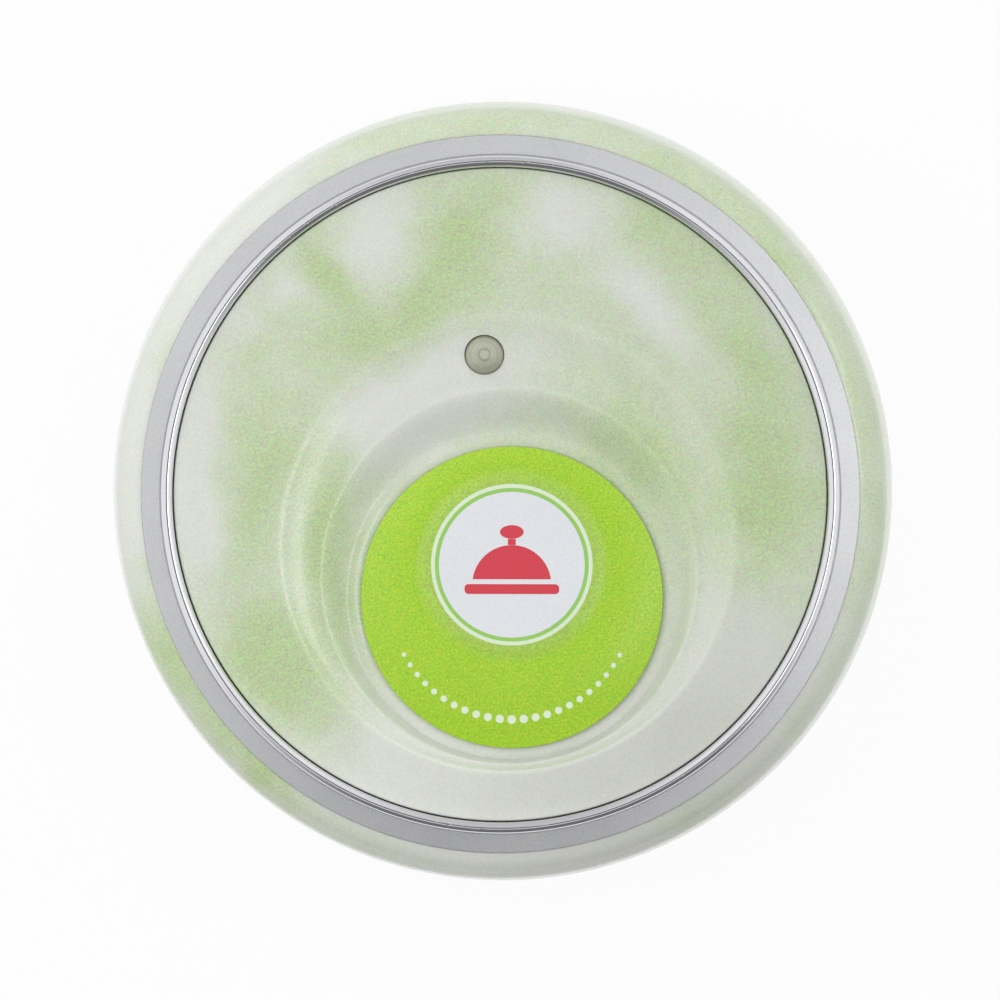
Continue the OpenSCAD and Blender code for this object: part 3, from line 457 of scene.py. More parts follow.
def make_marbling():
    """Soft green clouds in ivory plastic: a share of green over the top and the skirt, and a share of
    the darker ivory towards the lower right, which is painted shade for the light's fall-off there."""
    group, start, end = new_group("marbling", [("Place", "Vector", None)],
                                  [("Green", "Float"), ("Painted Shade", "Float")])
    place = start.outputs["Place"]
    upright = node(group, "Mapping", {"Vector": place, "Rotation": (0, 0, math.radians(UPRIGHT_TURN)),
                                      "Scale": (1 / MM, 1 / MM, 1 / MM)}).outputs[0]
    drift = node(group, "TexNoise", {"Vector": upright, "Scale": DRIFT_SCALE, "Detail": 3.0}).outputs["Color"]
    drift = node(group, "VectorMath", {0: drift, 1: (0.5, 0.5, 0.5)}, operation="SUBTRACT").outputs[0]
    warped = node(group, "VectorMath", {0: drift, "Scale": DRIFT_REACH}, operation="SCALE").outputs[0]
    warped = node(group, "VectorMath", {0: upright, 1: warped}, operation="ADD").outputs[0]
    flat = node(group, "VectorMath", {0: warped, 1: (1, 1, 0)}, operation="MULTIPLY").outputs[0]
    total = GREEN_BASE
    for clouds, sign in ((GREEN_CLOUDS, 1), (IVORY_CLOUDS, -1)):
        for x, y, length, width, angle, strength in clouds.values():
            local = node(group, "Mapping", {"Vector": flat, "Location": (x, y, 0),
                                            "Rotation": (0, 0, math.radians(angle)),
                                            "Scale": (CLOUD_REACH * length, CLOUD_REACH * width, 1)},
                         vector_type="TEXTURE").outputs[0]
            spot = node(group, "TexGradient", {"Vector": local}, gradient_type="QUADRATIC_SPHERE")
            part = maths(group, "MULTIPLY", spot.outputs["Fac"], sign * strength * CLOUD_GAIN)
            total = maths(group, "ADD", total, part)
    wisps = maths(group, "SUBTRACT", noise(group, warped, WISP_SCALE, 4, 0.6), 0.5)
    wisps = maths(group, "MULTIPLY", wisps, WISP_GAIN)
    green = ranged(group, maths(group, "ADD", total, wisps), GREEN_LOW, GREEN_HIGH, smooth=True)
    group.links.new(green, end.inputs["Green"])
    # Painted shade: the share of the darker ivory grows towards a point at the lower right
    reach = node(group, "VectorMath", {0: flat, 1: PAINTED_SHADE_PLACE}, operation="DISTANCE").outputs["Value"]
    group.links.new(ranged(group, reach, 0, PAINTED_SHADE_SIZE, 1, 0, smooth=True), end.inputs["Painted Shade"])
    return group


def make_marbled_plastic():
    """Glossy ivory plastic with green marbling, and painted shade that darkens it towards the lower right."""
    material, tree, shader, place = finish("marbled_plastic", Coat_Weight=0.2, Coat_Roughness=0.04,
                                           IOR=1.5, Subsurface_Weight=0.45,
                                           Subsurface_Radius=(1.0, 1.1, 0.9), Subsurface_Scale=0.0008)
    marbling = placed_group(tree, make_marbling(), {"Place": place})
    # Painted shade: the darker ivory is mixed in towards the lower right
    ivory = mixed(tree, marbling.outputs["Painted Shade"], IVORY, IVORY_PAINTED_SHADE)
    colour = mixed(tree, marbling.outputs["Green"], ivory, MARBLE_GREEN)
    grain = maths(tree, "MULTIPLY_ADD", marbling.outputs["Green"], 0.12, 0.07)
    mottle = placed_group(tree, MOTTLE, {"Colour": colour, "Place": place, "Cloud Size": 3.0,
                                         "Cloud": 0.05, "Speck Size": 0.17, "Speck": grain,
                                         "Roughness": 0.16})
    tree.links.new(mottle.outputs["Colour"], shader.inputs["Base Color"])
    tree.links.new(mottle.outputs["Roughness"], shader.inputs["Roughness"])
    marks = placed_group(tree, HANDLING, {"Place": place, "Size": 9.0})
    bumped(tree, shader, maths(tree, "SUBTRACT", noise(tree, place, 260, 2),
                               maths(tree, "MULTIPLY", marks.outputs["Scratch"], 0.03)), 0.02)
    return material


# ---------------------------------------------------------------------------------------------------
# The other finishes
# ---------------------------------------------------------------------------------------------------

def make_satin_band():
    """Brushed plating on the flat band of the trim ring."""
    material, tree, shader, place = finish("satin_plating", Metallic=1.0)
    lines = placed_group(tree, ROUND_LINES, {"Place": place})
    tone = mixed(tree, lines.outputs["Patches"], srgb(213, 215, 217), srgb(225, 226, 227))
    mottle = placed_group(tree, MOTTLE, {"Colour": tone, "Place": place, "Speck Size": 0.14,
                                         "Speck": 0.08, "Cloud": 0.04, "Roughness": 0.46})
    tree.links.new(mottle.outputs["Colour"], shader.inputs["Base Color"])
    rough = maths(tree, "ADD", mottle.outputs["Roughness"],
                  maths(tree, "MULTIPLY", lines.outputs["Lines"], 0.08))
    tree.links.new(rough, shader.inputs["Roughness"])
    bumped(tree, shader, lines.outputs["Lines"], 0.004)
    return material


def make_bright_bead():
    """Polished plating on the bead of the trim ring."""
    material, tree, shader, place = finish("bright_plating", Metallic=1.0)
    mottle = placed_group(tree, MOTTLE, {"Colour": srgb(226, 226, 230), "Place": place, "Speck": 0.03,
                                         "Cloud": 0.06, "Roughness": 0.07})
    marks = placed_group(tree, HANDLING, {"Place": place})
    tree.links.new(mottle.outputs["Colour"], shader.inputs["Base Color"])
    rough = maths(tree, "ADD", mottle.outputs["Roughness"],
                  maths(tree, "MULTIPLY", marks.outputs["Smudge"], 0.06))
    tree.links.new(rough, shader.inputs["Roughness"])
    bumped(tree, shader, marks.outputs["Scratch"], 0.002)
    return material


HALO_START, HALO_END = 7.9, 6.0
LABEL_GREEN, HALO_GREEN = srgb(167, 211, 44), srgb(170, 205, 88)


def make_label_film():
    """Printed green film, with the darker soft halo round the raised centre."""
    material, tree, shader, place = finish("label_film", Coat_Weight=0.2, Coat_Roughness=0.15, IOR=1.45)
    centred = node(tree, "Mapping", {"Vector": place, "Location": tuple(raised_place() * -1)}).outputs[0]
    flat = node(tree, "VectorMath", {0: centred, 1: (1 / MM, 1 / MM, 0)}, operation="MULTIPLY").outputs[0]
    distance = node(tree, "VectorMath", {0: flat}, operation="LENGTH").outputs["Value"]
    halo = ranged(tree, distance, HALO_END, HALO_START, 1, 0, smooth=True)
    colour = mixed(tree, halo, LABEL_GREEN, HALO_GREEN)
    mottle = placed_group(tree, MOTTLE, {"Colour": colour, "Place": place, "Cloud Size": 2.5,
                                         "Cloud": 0.06, "Speck Size": 0.16, "Speck": 0.24,
                                         "Roughness": 0.35})
    tree.links.new(mottle.outputs["Colour"], shader.inputs["Base Color"])
    tree.links.new(mottle.outputs["Roughness"], shader.inputs["Roughness"])
    bumped(tree, shader, mottle.outputs["Height"], 0.003)
    return material


def raised_place():
    """The middle of the label's raised centre."""
    return turned(-UPRIGHT_TURN, 0, KEY_Y, KEY_TOP) @ mm(0, RAISED_Y, 0)


def make_lamp_resin():
    """Milky grey resin of the lamp, with painted rings that stand in for the cup seen through it, and a
    painted darker edge that stands in for the shade at its rim.
    """
    material, tree, shader, place = finish("lamp_resin", Transmission_Weight=0.15, IOR=1.5,
                                           Subsurface_Weight=0.2, Subsurface_Scale=0.0005)
    centred = node(tree, "VectorMath", {0: place, 1: (0, LAMP_Y * MM, 0)}, operation="SUBTRACT").outputs[0]
    flat = node(tree, "VectorMath", {0: centred, 1: (1 / MM, 1 / MM, 0)}, operation="MULTIPLY").outputs[0]
    reach = node(tree, "VectorMath", {0: flat}, operation="LENGTH").outputs["Value"]
    blots = maths(tree, "MULTIPLY", maths(tree, "SUBTRACT", noise(tree, place, 2600, 3), 0.5), 0.16)
    reach = maths(tree, "DIVIDE", maths(tree, "ADD", reach, blots), LAMP_R)
    painted_rings = node(tree, "ValToRGB", {0: reach})
    ramp = painted_rings.color_ramp
    # Painted rings where the cup shows through, and a painted darker edge for the shade at the lamp's rim
    stops = ((0.0, (200, 202, 183)), (0.2, (197, 199, 179)), (0.27, (160, 160, 140)), (0.36, (190, 192, 171)),
             (0.62, (194, 196, 175)), (0.7, (180, 182, 161)), (0.78, (192, 193, 173)),
             (0.9, (183, 183, 165)), (1.0, (142, 140, 124)))
    ramp.elements[0].position, ramp.elements[0].color = stops[0][0], srgb(*stops[0][1])
    ramp.elements[1].position, ramp.elements[1].color = stops[-1][0], srgb(*stops[-1][1])
    for position, colour in stops[1:-1]:
        ramp.elements.new(position).color = srgb(*colour)
    mottle = placed_group(tree, MOTTLE, {"Colour": painted_rings.outputs["Color"], "Place": place,
                                         "Cloud Size": 0.8, "Cloud": 0.2, "Speck": 0.08,
                                         "Roughness": 0.12})
    tree.links.new(mottle.outputs["Colour"], shader.inputs["Base Color"])
    tree.links.new(mottle.outputs["Roughness"], shader.inputs["Roughness"])
    return material


def make_board_laminate():
    """Green board with copper tracks under the solder mask and a fine weave in its edge."""
    material, tree, shader, place = finish("board_laminate", Coat_Weight=0.3, Coat_Roughness=0.2)
    tracks = node(tree, "TexBrick", {"Vector": place, "Scale": 260.0, "Mortar Size": 0.02,
                                     "Mortar Smooth": 0.1, "Brick Width": 1.3, "Row Height": 0.5})
    weave = node(tree, "TexWave", {"Vector": place, "Scale": 500.0, "Distortion": 0.4})
    masked = mixed(tree, tracks.outputs["Fac"], srgb(24, 92, 50), srgb(52, 128, 72))
    mottle = placed_group(tree, MOTTLE, {"Colour": masked, "Place": place, "Cloud": 0.2, "Speck": 0.05,
                                         "Roughness": 0.35})
    tree.links.new(mottle.outputs["Colour"], shader.inputs["Base Color"])
    tree.links.new(mottle.outputs["Roughness"], shader.inputs["Roughness"])
    height = maths(tree, "ADD", tracks.outputs["Fac"],
                   maths(tree, "MULTIPLY", weave.outputs["Fac"], 0.15))
    bumped(tree, shader, height, 0.02)
    return material


MARBLED = make_marbled_plastic()
SATIN = make_satin_band()
BRIGHT = make_bright_bead()
LABEL_FILM = make_label_film()
LAMP_RESIN = make_lamp_resin()
BOARD = make_board_laminate()
KEY_PLASTIC = plain_finish("key_plastic", srgb(222, 224, 214), 0.3, relief=0.003)
IVORY_PLASTIC = plain_finish("ivory_plastic", srgb(214, 214, 204), 0.5, speck=0.06, relief=0.012,
                             speck_size=0.25)
RUBBER = plain_finish("black_rubber", srgb(38, 38, 40), 0.75, speck=0.2, speck_size=0.3, relief=0.02)
BLACK_PLASTIC = plain_finish("black_plastic", srgb(34, 34, 36), 0.45, speck=0.15, relief=0.01)
TINNED = plain_finish("tinned_metal", srgb(206, 207, 205), 0.3, cloud=0.15, Metallic=1.0)
SWITCH_PLATE = plain_finish("switch_plate", srgb(198, 200, 204), 0.32, cloud=0.12, Metallic=1.0)
SPRING = plain_finish("spring_metal", srgb(214, 206, 186), 0.25, cloud=0.12, Metallic=1.0)
CERAMIC = plain_finish("part_ceramic", srgb(196, 168, 128), 0.55, speck=0.12, relief=0.008)
FILM_BLACK = plain_finish("film_black", srgb(30, 31, 36), 0.35, speck=0.1)
BRASS = plain_finish("brass_wire", srgb(214, 176, 96), 0.28, cloud=0.2, Metallic=1.0)
CELL_STEEL = plain_finish("cell_steel", srgb(212, 213, 212), 0.24, cloud=0.1, speck=0.06, Metallic=1.0)
SCREW_STEEL = plain_finish("screw_steel", srgb(176, 178, 182), 0.3, cloud=0.15, Metallic=1.0)
WHITE_INK = plain_finish("white_ink", srgb(227, 229, 232), 0.4, speck=0.06, relief=0.002)
PALE_INK = plain_finish("pale_green_ink", srgb(222, 236, 206), 0.4, speck=0.06, relief=0.002)
LINE_INK = plain_finish("green_line_ink", srgb(152, 204, 98), 0.4, speck=0.06, relief=0.002)
RED_INK = plain_finish("red_ink", srgb(214, 62, 76), 0.4, speck=0.08, relief=0.002)
CUP_METAL = plain_finish("lamp_cup_metal", srgb(176, 172, 158), 0.35, cloud=0.2, cloud_size=0.6,
                         Metallic=0.8)
CHIP_YELLOW = plain_finish("lamp_chip", srgb(190, 160, 96), 0.4, cloud=0.2, cloud_size=0.2)

NODE_FINISHES = {
    "outer_shell": MARBLED, "panel_gasket": RUBBER, "key_cap": KEY_PLASTIC, "led_leads": TINNED,
    "switch_plunger": BLACK_PLASTIC, "switch_dome": SPRING, "switch_frame": SWITCH_PLATE,
    "switch_housing": BLACK_PLASTIC, "switch_legs": TINNED, "circuit_board": BOARD,
    "encoder_chip": BLACK_PLASTIC, "encoder_legs": TINNED, "resonator_can": SWITCH_PLATE,
    "transistor": BLACK_PLASTIC, "chip_resistors": FILM_BLACK, "chip_capacitors": CERAMIC,
    "antenna_loop": BRASS, "coin_cell": CELL_STEEL, "cell_contact_top": SPRING,
    "cell_contact_side": SPRING, "battery_door": IVORY_PLASTIC, "door_seal": RUBBER,
    "base_cover": IVORY_PLASTIC, "non_slip_ring": RUBBER, "case_screws": SCREW_STEEL,
    "board_screws": SCREW_STEEL,
}
for node_name, node_finish in NODE_FINISHES.items():
    for material_slot in nodes[node_name].material_slots:
        material_slot.material = node_finish


# ---------------------------------------------------------------------------------------------------
# Top panel with its bowl
# ---------------------------------------------------------------------------------------------------

RIM_ROUND = 0.35
SLOPE_STEPS = 14
GUIDE_R, GUIDE_RADIUS, GUIDE_Z = 0.8, 12.8, 13.85
POST_R, POST_SHIFT, POST_ANGLE, POST_Z = 2.1, 21.1, 35, 3.05
PILOT_R, PILOT_END = 0.97, 10.5
COLLAR_R, COLLAR_Z = 2.75, LAMP_TIP - 4.5


def between(one, other, share):
    return one + (other - one) * share


def slope_circles(top, bottom, steps, soft):
    """Circles down a slope that is level at its end and starts steep, or softly where soft is more."""
    made = []
    for step in range(1, steps + 1):
        share = step / steps
        depth = between(math.sin(share * math.pi / 2), share * share * (3 - 2 * share), soft)
        made.append((between(top[0], bottom[0], share), between(top[1], bottom[1], share),
                     between(top[2], bottom[2], depth)))
    return made


def panel_circles():
    """Circles of the panel from its underside, over its edge and land, down the bowl and back."""
    under_z = PANEL_TOP - PANEL_T
    rim, shelf = (RIM_R, RIM_Y, PANEL_TOP), (SHELF_R, SHELF_Y, SHELF_Z)
    floor = (FLOOR_R, KEY_Y, FLOOR_Z)
    edge = arc(PANEL_R - PANEL_EDGE_R, PANEL_TOP - PANEL_EDGE_R, PANEL_EDGE_R, 0, 90, 6)
    circles = [(PANEL_RIM_R, 0, under_z), (PANEL_RIM_R, 0, FLANGE_Z), (FLANGE_R, 0, FLANGE_Z),
               (FLANGE_R, 0, SEAT_Z), (PANEL_R, 0, SEAT_Z)]
    circles += [(r, 0, z) for r, z in edge]
    circles += [(PANEL_R - 1.5, -0.1, PANEL_TOP), (RIM_R + 1.6, RIM_Y, PANEL_TOP),
                (RIM_R + RIM_ROUND, RIM_Y, PANEL_TOP), (RIM_R + 0.12, RIM_Y - 0.01, PANEL_TOP - 0.015)]
    circles += slope_circles(rim, shelf, SLOPE_STEPS, 0)
    circles += slope_circles(shelf, floor, SLOPE_STEPS, 0.75)
    circles += [(KEY_LIP_R + 0.05, KEY_Y, FLOOR_Z), (KEY_LIP_R, KEY_Y, FLOOR_Z - 0.04),
                (KEY_LIP_R, KEY_Y, FLOOR_Z - 0.2), (KEY_HOLE_R, KEY_Y, FLOOR_Z - 0.3),
                (KEY_HOLE_R, KEY_Y, FLOOR_Z - PANEL_T),
                (FLOOR_R + PANEL_T, KEY_Y, FLOOR_Z - PANEL_T),
                (SHELF_R + PANEL_T, SHELF_Y, SHELF_Z - PANEL_T),
                (RIM_R + PANEL_T, RIM_Y, under_z)]
    return circles


def panel_posts(bm):
    """Screw posts, the lamp's collar and the key's guide pins under the panel."""
    for side in (0, 180):
        for angle in (-POST_ANGLE, POST_ANGLE):
            turn = math.radians(side + angle)
            post(bm, POST_R, POST_Z, PANEL_TOP - PANEL_T / 2,
                 POST_SHIFT * math.cos(turn), POST_SHIFT * math.sin(turn))
    post(bm, COLLAR_R, COLLAR_Z, PANEL_TOP - PANEL_T, 0, LAMP_Y)
    for turn in (90, 210, 330):
        post(bm, GUIDE_R, GUIDE_Z, FLOOR_Z - PANEL_T / 2, GUIDE_RADIUS * math.cos(math.radians(turn)),
             KEY_Y + GUIDE_RADIUS * math.sin(math.radians(turn)))


def panel_bores(bm):
    """The pilot holes in the posts and the lamp's hole."""
    for side in (0, 180):
        for angle in (-POST_ANGLE, POST_ANGLE):
            turn = math.radians(side + angle)
            post(bm, PILOT_R, POST_Z - 1, PILOT_END,
                 POST_SHIFT * math.cos(turn), POST_SHIFT * math.sin(turn))
    post(bm, LAMP_HOLE_R, LAMP_FOOT, CASE_TOP, 0, LAMP_Y)


def make_top_panel():
    bm = bmesh.new()
    lofted(bm, panel_circles(), closed=True)
    bmesh.ops.recalc_face_normals(bm, faces=bm.faces)
    mesh = bpy.data.meshes.new("top_panel_loft")
    bm.to_mesh(mesh)
    bm.free()
    mesh = combined(mesh, panel_posts, "UNION")
    mesh = combined(mesh, panel_bores, "DIFFERENCE")
    return placed("top_panel_dressed", mesh, [MARBLED], "case", ["top_panel"], 40)


make_top_panel()


# ---------------------------------------------------------------------------------------------------
# Trim ring
# ---------------------------------------------------------------------------------------------------

RING_EDGE = 0.08
BAND_ENDS = (0.04, 0.96)
BEAD_STEPS = 32


def make_trim_ring():
    """A sloping satin band and a polished bead inside it, on one ring. Two extra circles near the
    band's ends keep its shading even."""
    bead_r = (BAND_IN_R - BEAD_IN_R) / 2
    edge = RING_EDGE
    section = [(BEAD_IN_R, SEAT_Z), (RING_R, SEAT_Z), (RING_R, SEAM_Z - edge)]
    section += arc(RING_R - edge, SEAM_Z - edge, edge, 0, 80, 4)[1:]
    outer, inner = section[-1], (BAND_IN_R + 0.1, BAND_IN_Z - 0.02)
    section += [(between(outer[0], inner[0], share), between(outer[1], inner[1], share))
                for share in BAND_ENDS]
    section += [inner, (BAND_IN_R + 0.04, BAND_IN_Z - 0.06),
                (BAND_IN_R, BAND_IN_Z - 0.02)]
    section += arc(BEAD_IN_R + bead_r, CASE_TOP - bead_r, bead_r, 0, 180, BEAD_STEPS)
    bm = bmesh.new()
    spun(bm, section)
    for face in bm.faces:
        middle = face.calc_center_median()
        reach = math.hypot(middle.x, middle.y) / MM
        face.material_index = 1 if reach < BAND_IN_R + 0.02 else 0
    return finished("trim_ring_dressed", bm, [SATIN, BRIGHT], "case", ["trim_ring"], 50)


make_trim_ring()


# ---------------------------------------------------------------------------------------------------
# Label on the key, with its generic prints
# ---------------------------------------------------------------------------------------------------

LABEL_PLACE = turned(-UPRIGHT_TURN, 0, KEY_Y, KEY_TOP)
PRINT_Z = LABEL_T + RAISED_T + INK_LIFT
WHITE_R = 5.55
LINE_R = 5.85
PALE_R = 6.15


def make_label():
    """The green film: a soft raised centre that sits above the middle of the disc."""
    soft = 1.1
    bm = bmesh.new()
    circles = [(LABEL_R, 0, 0), (LABEL_R, 0, LABEL_T - 0.08), (LABEL_R - 0.03, 0, LABEL_T - 0.03),
               (LABEL_R - 0.09, 0, LABEL_T)]
    steps = 8
    for step in range(steps + 1):
        share = step / steps
        rise = (1 - math.cos(share * math.pi)) / 2
        circles.append((RAISED_R - soft * share, RAISED_Y, LABEL_T + RAISED_T * rise))
    circles.append((0.4 * RAISED_R, RAISED_Y, LABEL_T + RAISED_T))
    for rim in lofted(bm, circles):
        bmesh.ops.holes_fill(bm, edges=rim, sides=0)
    bmesh.ops.transform(bm, matrix=LABEL_PLACE, verts=bm.verts)
    return finished("key_label_dressed", bm, [LABEL_FILM], "key", ["key_label"], 30)


def inked(name, shape, ink, y=RAISED_Y, z=PRINT_Z):
    """A thin layer of ink from a flat shape that the function shape draws in millimetres."""
    bm = bmesh.new()
    shape(bm)
    bmesh.ops.remove_doubles(bm, verts=bm.verts, dist=0.001)
    made = bmesh.ops.extrude_face_region(bm, geom=bm.faces[:])
    raised = [item for item in made["geom"] if isinstance(item, bmesh.types.BMVert)]
    bmesh.ops.translate(bm, verts=raised, vec=(0, 0, INK_T))
    bmesh.ops.scale(bm, vec=(MM, MM, MM), verts=bm.verts)
    bmesh.ops.transform(bm, matrix=LABEL_PLACE @ Matrix.Translation(mm(0, y, z)), verts=bm.verts)
    return finished(name, bm, [ink], "key", sharp=30)


def flat_band(bm, inner, outer, steps=ROUND_STEPS):
    """A flat ring between two radii, or a disc where the inner one is nothing."""
    if inner:
        loops = [bmesh.ops.create_circle(bm, segments=steps, radius=r)["verts"] for r in (inner, outer)]
        edges = {edge for verts in loops for vert in verts for edge in vert.link_edges}
        bmesh.ops.bridge_loops(bm, edges=list(edges))
    else:
        bmesh.ops.create_circle(bm, segments=steps, radius=outer, cap_ends=True)


def bell_shape(bm):
    """A counter bell: a dome on a foot, with a round push knob on a short neck."""
    def rounded_bar(width, height, y, corner):
        made = bmesh.ops.create_grid(bm, x_segments=1, y_segments=1, size=0.5)["verts"]
        bmesh.ops.scale(bm, vec=(width, height, 1), verts=made)
        bmesh.ops.translate(bm, vec=(0, y, 0), verts=made)
        bmesh.ops.bevel(bm, geom=made, affect="VERTICES", offset=corner, segments=6, profile=0.5,
                        material=-1)

    dome = bmesh.ops.create_circle(bm, segments=96, radius=3.0, cap_ends=True)["verts"]
    faces = list({face for vert in dome for face in vert.link_faces})
    edges = list({edge for vert in dome for edge in vert.link_edges})
    bmesh.ops.bisect_plane(bm, geom=dome + edges + faces, plane_co=(0, 0.4, 0), plane_no=(0, -1, 0),
                           clear_outer=True)
    bmesh.ops.translate(bm, vec=(0, -1.5, 0), verts=bm.verts)
    rounded_bar(7.2, 0.75, -1.85, 0.3)
    rounded_bar(0.6, 0.46, 1.74, 0.05)
    knob = bmesh.ops.create_circle(bm, segments=48, radius=0.72, cap_ends=True)["verts"]
    bmesh.ops.scale(bm, vec=(1.25, 0.72, 1), verts=knob)
    bmesh.ops.translate(bm, vec=(0, 2.5, 0), verts=knob)


def dotted_arc(bm):
    """A row of round dots along the lower part of the label, smaller towards its ends."""
    dots, reach, radius = 23, 62, 9.3
    for number in range(dots):
        share = 2 * number / (dots - 1) - 1
        turn = math.radians(-90 + share * reach)
        size = 0.34 - 0.16 * abs(share)
        made = bmesh.ops.create_circle(bm, segments=24, radius=size, cap_ends=True)["verts"]
        bmesh.ops.translate(bm, vec=(radius * math.cos(turn), radius * math.sin(turn), 0), verts=made)


make_label()
inked("label_white_disc", lambda bm: flat_band(bm, 0, WHITE_R), WHITE_INK)
inked("label_green_line", lambda bm: flat_band(bm, WHITE_R, LINE_R), LINE_INK)
inked("label_pale_ring", lambda bm: flat_band(bm, LINE_R, PALE_R), PALE_INK)
inked("label_bell", bell_shape, RED_INK, z=PRINT_Z + INK_T)
inked("label_dots", dotted_arc, PALE_INK, y=0, z=LABEL_T + INK_LIFT)


# ---------------------------------------------------------------------------------------------------
# Lamp
# ---------------------------------------------------------------------------------------------------

LAMP_FLANGE_R = 1.9
LAMP_FLANGE_T = 1.0
LAMP_DOME_H = 0.75


def make_lamp():
    """The milky lens with its flange, the cup and the chip inside it."""
    place = Matrix.Translation(mm(0, LAMP_Y, 0))
    flange_top = LAMP_FOOT + LAMP_FLANGE_T
    section = [(0, LAMP_FOOT), (LAMP_FLANGE_R - 0.08, LAMP_FOOT), (LAMP_FLANGE_R, LAMP_FOOT + 0.08),
               (LAMP_FLANGE_R, flange_top - 0.08), (LAMP_FLANGE_R - 0.08, flange_top),
               (LAMP_R, flange_top)]
    dome_r = (LAMP_R * LAMP_R + LAMP_DOME_H * LAMP_DOME_H) / (2 * LAMP_DOME_H)
    start = math.degrees(math.asin((dome_r - LAMP_DOME_H) / dome_r))
    section += arc(0, LAMP_TIP - dome_r, dome_r, start, 90, 18)
    bm = bmesh.new()
    spun(bm, section, SMALL_STEPS, place, closed=False)
    finished("indicator_led_dressed", bm, [LAMP_RESIN], "case", ["indicator_led"], 40)
    cup_z = LAMP_FOOT + 1.6
    section = [(0, cup_z), (0.85, cup_z), (0.95, cup_z + 0.9), (0.85, cup_z + 0.9),
               (0.5, cup_z + 0.4), (0, cup_z + 0.4)]
    bm = bmesh.new()
    spun(bm, section, SMALL_STEPS, place, closed=False)
    finished("lamp_cup", bm, [CUP_METAL], "case")
    bm = bmesh.new()
    bmesh.ops.create_cube(bm, size=0.35 * MM, matrix=Matrix.Translation(mm(0, LAMP_Y, cup_z + 0.6)))
    bmesh.ops.bevel(bm, geom=bm.edges[:], affect="EDGES", offset=0.03 * MM, segments=2, profile=0.5,
                    material=-1)
    finished("lamp_chip", bm, [CHIP_YELLOW], "case")


make_lamp()


# ---------------------------------------------------------------------------------------------------
# Snap dome of the switch, as a copy of its solid's mesh
# ---------------------------------------------------------------------------------------------------


def make_snap_dome():
    bm = bmesh.new()
    bm.from_mesh(nodes["switch_dome"].data)
    dome = finished("switch_dome_dressed", bm, [SPRING], "case", ["switch_dome"], 30)
    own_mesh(dome)


make_snap_dome()


# ---------------------------------------------------------------------------------------------------
# Studio
# ---------------------------------------------------------------------------------------------------

SKY_LEVEL = 0.79
RIGHT_GLOW = 0.4
DARK_SIDE = 0.82
DARK_BACK = 0.35
SPOT_PLACE = (0.031, 0.035, 0.0)
SPOT_DARK = 0.85
OBJECT_MIDDLE = (0, 0, 0.018)

# Where the world's parts begin and end: turns from the front in radians, leans from the zenith as the
# sine of their angle, the rightward share of a direction, and the reach of the camera's spot
FRONT_TURN, FRONT_LEAN = (0.45, 1.25), (0.2, 0.5)
BACK_TURN, BACK_LEAN = (2.4, 3.0), (0.1, 0.4)
LOW_FRONT_TURN, LOW_FRONT_LEAN = (0.5, 1.6), (0.5, 0.9)
RIGHT_REACH = (0.3, 1.0)
SPOT_REACH = (0.16, 0.24)


def background_share(tree):
    """One for the rays that see the background straight or in a reflection or through the lamp."""
    rays = node(tree, "LightPath").outputs
    seen = maths(tree, "MAXIMUM", rays["Is Camera Ray"], rays["Is Glossy Ray"])
    return maths(tree, "MAXIMUM", seen, rays["Is Transmission Ray"])


FLOOR_REACH = 6.0
FLOOR_GLOW = 0.94


def make_floor():
    """A pale floor that reads white and keeps a faint shadow."""
    bm = bmesh.new()
    bmesh.ops.create_circle(bm, cap_ends=True, segments=64, radius=FLOOR_REACH)
    mesh = bpy.data.meshes.new("floor")
    bm.to_mesh(mesh)
    bm.free()
    floor = bpy.data.objects.new("floor", mesh)
    bpy.context.scene.collection.objects.link(floor)
    material = bpy.data.materials.new("floor_paper")
    material.use_nodes = True
    tree = material.node_tree
    tree.nodes.clear()
    place = node(tree, "TexCoord").outputs["Object"]
    paper = mixed(tree, noise(tree, place, 30, 3), (0.80, 0.80, 0.80, 1), (0.84, 0.84, 0.84, 1))
    matt = node(tree, "BsdfDiffuse", {"Color": paper})
    glow = node(tree, "Emission", {"Color": (1, 1, 1, 1), "Strength": 1.0})
    share = maths(tree, "MULTIPLY", background_share(tree), FLOOR_GLOW)
    both = node(tree, "MixShader", {0: share, 1: matt.outputs[0], 2: glow.outputs[0]})
    node(tree, "OutputMaterial", {"Surface": both.outputs[0]})
    mesh.materials.append(material)


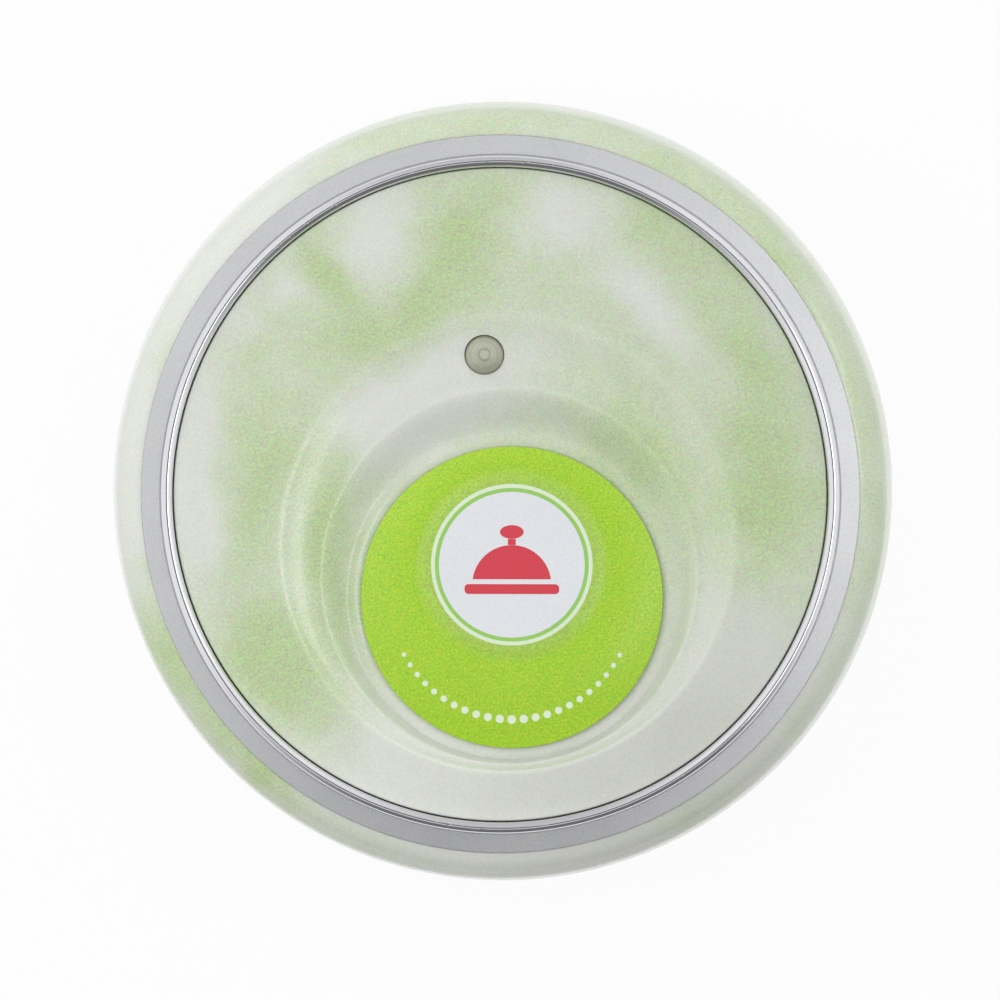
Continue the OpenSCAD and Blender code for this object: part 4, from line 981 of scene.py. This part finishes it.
def make_world():
    """White for the rays that see the background, with the studio's dark front, its dimmer back and the
    dark spot of the camera in its reflections, and a softer sky that lights the object: darker low down
    at the front and brighter at the right."""
    world = bpy.data.worlds.new("studio")
    bpy.context.scene.world = world
    world.use_nodes = True
    tree = world.node_tree
    tree.nodes.clear()
    towards = node(tree, "TexCoord").outputs["Generated"]
    apart = node(tree, "SeparateXYZ", {0: towards}).outputs
    level = node(tree, "VectorMath", {0: towards, 1: (1, 1, 0)}, operation="MULTIPLY").outputs[0]
    lean = node(tree, "VectorMath", {0: level}, operation="LENGTH").outputs["Value"]
    front = maths(tree, "MULTIPLY", apart[1], -1.0)
    turn = maths(tree, "ABSOLUTE", maths(tree, "ARCTAN2", apart[0], front))
    front_side = maths(tree, "MULTIPLY", ranged(tree, turn, *FRONT_TURN, 1, 0, smooth=True), DARK_SIDE)
    dark_side = maths(tree, "MULTIPLY", front_side, ranged(tree, lean, *FRONT_LEAN, smooth=True))
    back = maths(tree, "MULTIPLY", ranged(tree, turn, *BACK_TURN, smooth=True),
                 ranged(tree, lean, *BACK_LEAN, smooth=True))
    shade = maths(tree, "ADD", dark_side, maths(tree, "MULTIPLY", back, DARK_BACK))
    room = maths(tree, "SUBTRACT", 1.0, shade)
    low_front = maths(tree, "MULTIPLY", ranged(tree, turn, *LOW_FRONT_TURN, 1, 0, smooth=True),
                      ranged(tree, lean, *LOW_FRONT_LEAN, smooth=True))
    right_glow = maths(tree, "MULTIPLY", ranged(tree, apart[0], *RIGHT_REACH), RIGHT_GLOW)
    lights = maths(tree, "ADD", maths(tree, "SUBTRACT", 1.0, low_front), right_glow)
    spot = node(tree, "VectorMath", {0: level, 1: SPOT_PLACE}, operation="DISTANCE").outputs["Value"]
    spot = maths(tree, "MULTIPLY", ranged(tree, spot, *SPOT_REACH, 1, 0, smooth=True), SPOT_DARK)
    shown = maths(tree, "MULTIPLY", room, maths(tree, "SUBTRACT", 1.0, spot))
    soft = maths(tree, "MULTIPLY", lights, SKY_LEVEL)
    rays = node(tree, "LightPath").outputs
    mirrored = maths(tree, "MAXIMUM", rays["Is Glossy Ray"], rays["Is Transmission Ray"])
    lit = node(tree, "Background", {"Color": (0.97, 0.98, 1.0, 1), "Strength": soft})
    seen = node(tree, "Background", {"Color": (1, 1, 1, 1), "Strength": shown})
    white = node(tree, "Background", {"Color": (1, 1, 1, 1), "Strength": 1.0})
    both = node(tree, "MixShader", {0: mirrored, 1: lit.outputs[0], 2: seen.outputs[0]})
    both = node(tree, "MixShader", {0: rays["Is Camera Ray"], 1: both.outputs[0], 2: white.outputs[0]})
    node(tree, "OutputWorld", {"Surface": both.outputs[0]})


def make_softbox(name, place, aim, size, power, along=(0, 0, 1)):
    """A rectangular soft lamp, at a place and aimed at a point, both in metres; its length is turned
    along a direction."""
    lamp = bpy.data.lights.new(name, "AREA")
    lamp.shape = "RECTANGLE"
    lamp.size, lamp.size_y = size
    lamp.energy = power
    holder = bpy.data.objects.new(name, lamp)
    bpy.context.scene.collection.objects.link(holder)
    back = (Vector(place) - Vector(aim)).normalized()
    width = Vector(along).cross(back).normalized()
    turn = Matrix((width, back.cross(width), back)).transposed().to_4x4()
    holder.matrix_world = Matrix.Translation(place) @ turn
    return holder


make_floor()
make_world()
key_softbox = make_softbox("key_softbox", (-0.118, 0.055, 0.2), OBJECT_MIDDLE, (0.16, 0.16), 0.165)
# Its mirror image would show on the bowl's right side, where the photograph has none
key_softbox.visible_glossy = False
# Its mirror image is the crescent on the bowl's left rim
make_softbox("right_softbox", (0.261, -0.026, 0.551), (-0.015, -0.002, 0.019), (0.075, 0.44), 0.27,
             (0.44, 0.52, -0.205))


# ---------------------------------------------------------------------------------------------------
# Camera, fitted to the photographed circles
# ---------------------------------------------------------------------------------------------------

CAMERA_TILT_X = 1.789
CAMERA_TILT_Y = 2.023
CAMERA_ROLL = 6.365
CAMERA_DISTANCE = 500
CAMERA_TARGET = (-0.317, -0.699, 10.0)
CAMERA_LENS = 233.0
CAMERA_SENSOR = 36.0


def make_camera():
    away = Vector((math.sin(math.radians(CAMERA_TILT_X)), math.sin(math.radians(CAMERA_TILT_Y)), 1))
    away.normalize()
    across = Vector((0, 1, 0)).cross(away).normalized()
    up = away.cross(across)
    roll = math.radians(CAMERA_ROLL)
    side = across * math.cos(roll) - up * math.sin(roll)
    top = across * math.sin(roll) + up * math.cos(roll)
    data = bpy.data.cameras.new("photo_camera")
    data.lens = CAMERA_LENS
    data.sensor_width = CAMERA_SENSOR
    camera = bpy.data.objects.new("photo_camera", data)
    bpy.context.scene.collection.objects.link(camera)
    turn = Matrix((side, top, away)).transposed().to_4x4()
    camera.matrix_world = Matrix.Translation(mm(*CAMERA_TARGET) + away * CAMERA_DISTANCE * MM) @ turn
    bpy.context.scene.camera = camera


make_camera()
bpy.context.scene.view_settings.view_transform = "Standard"
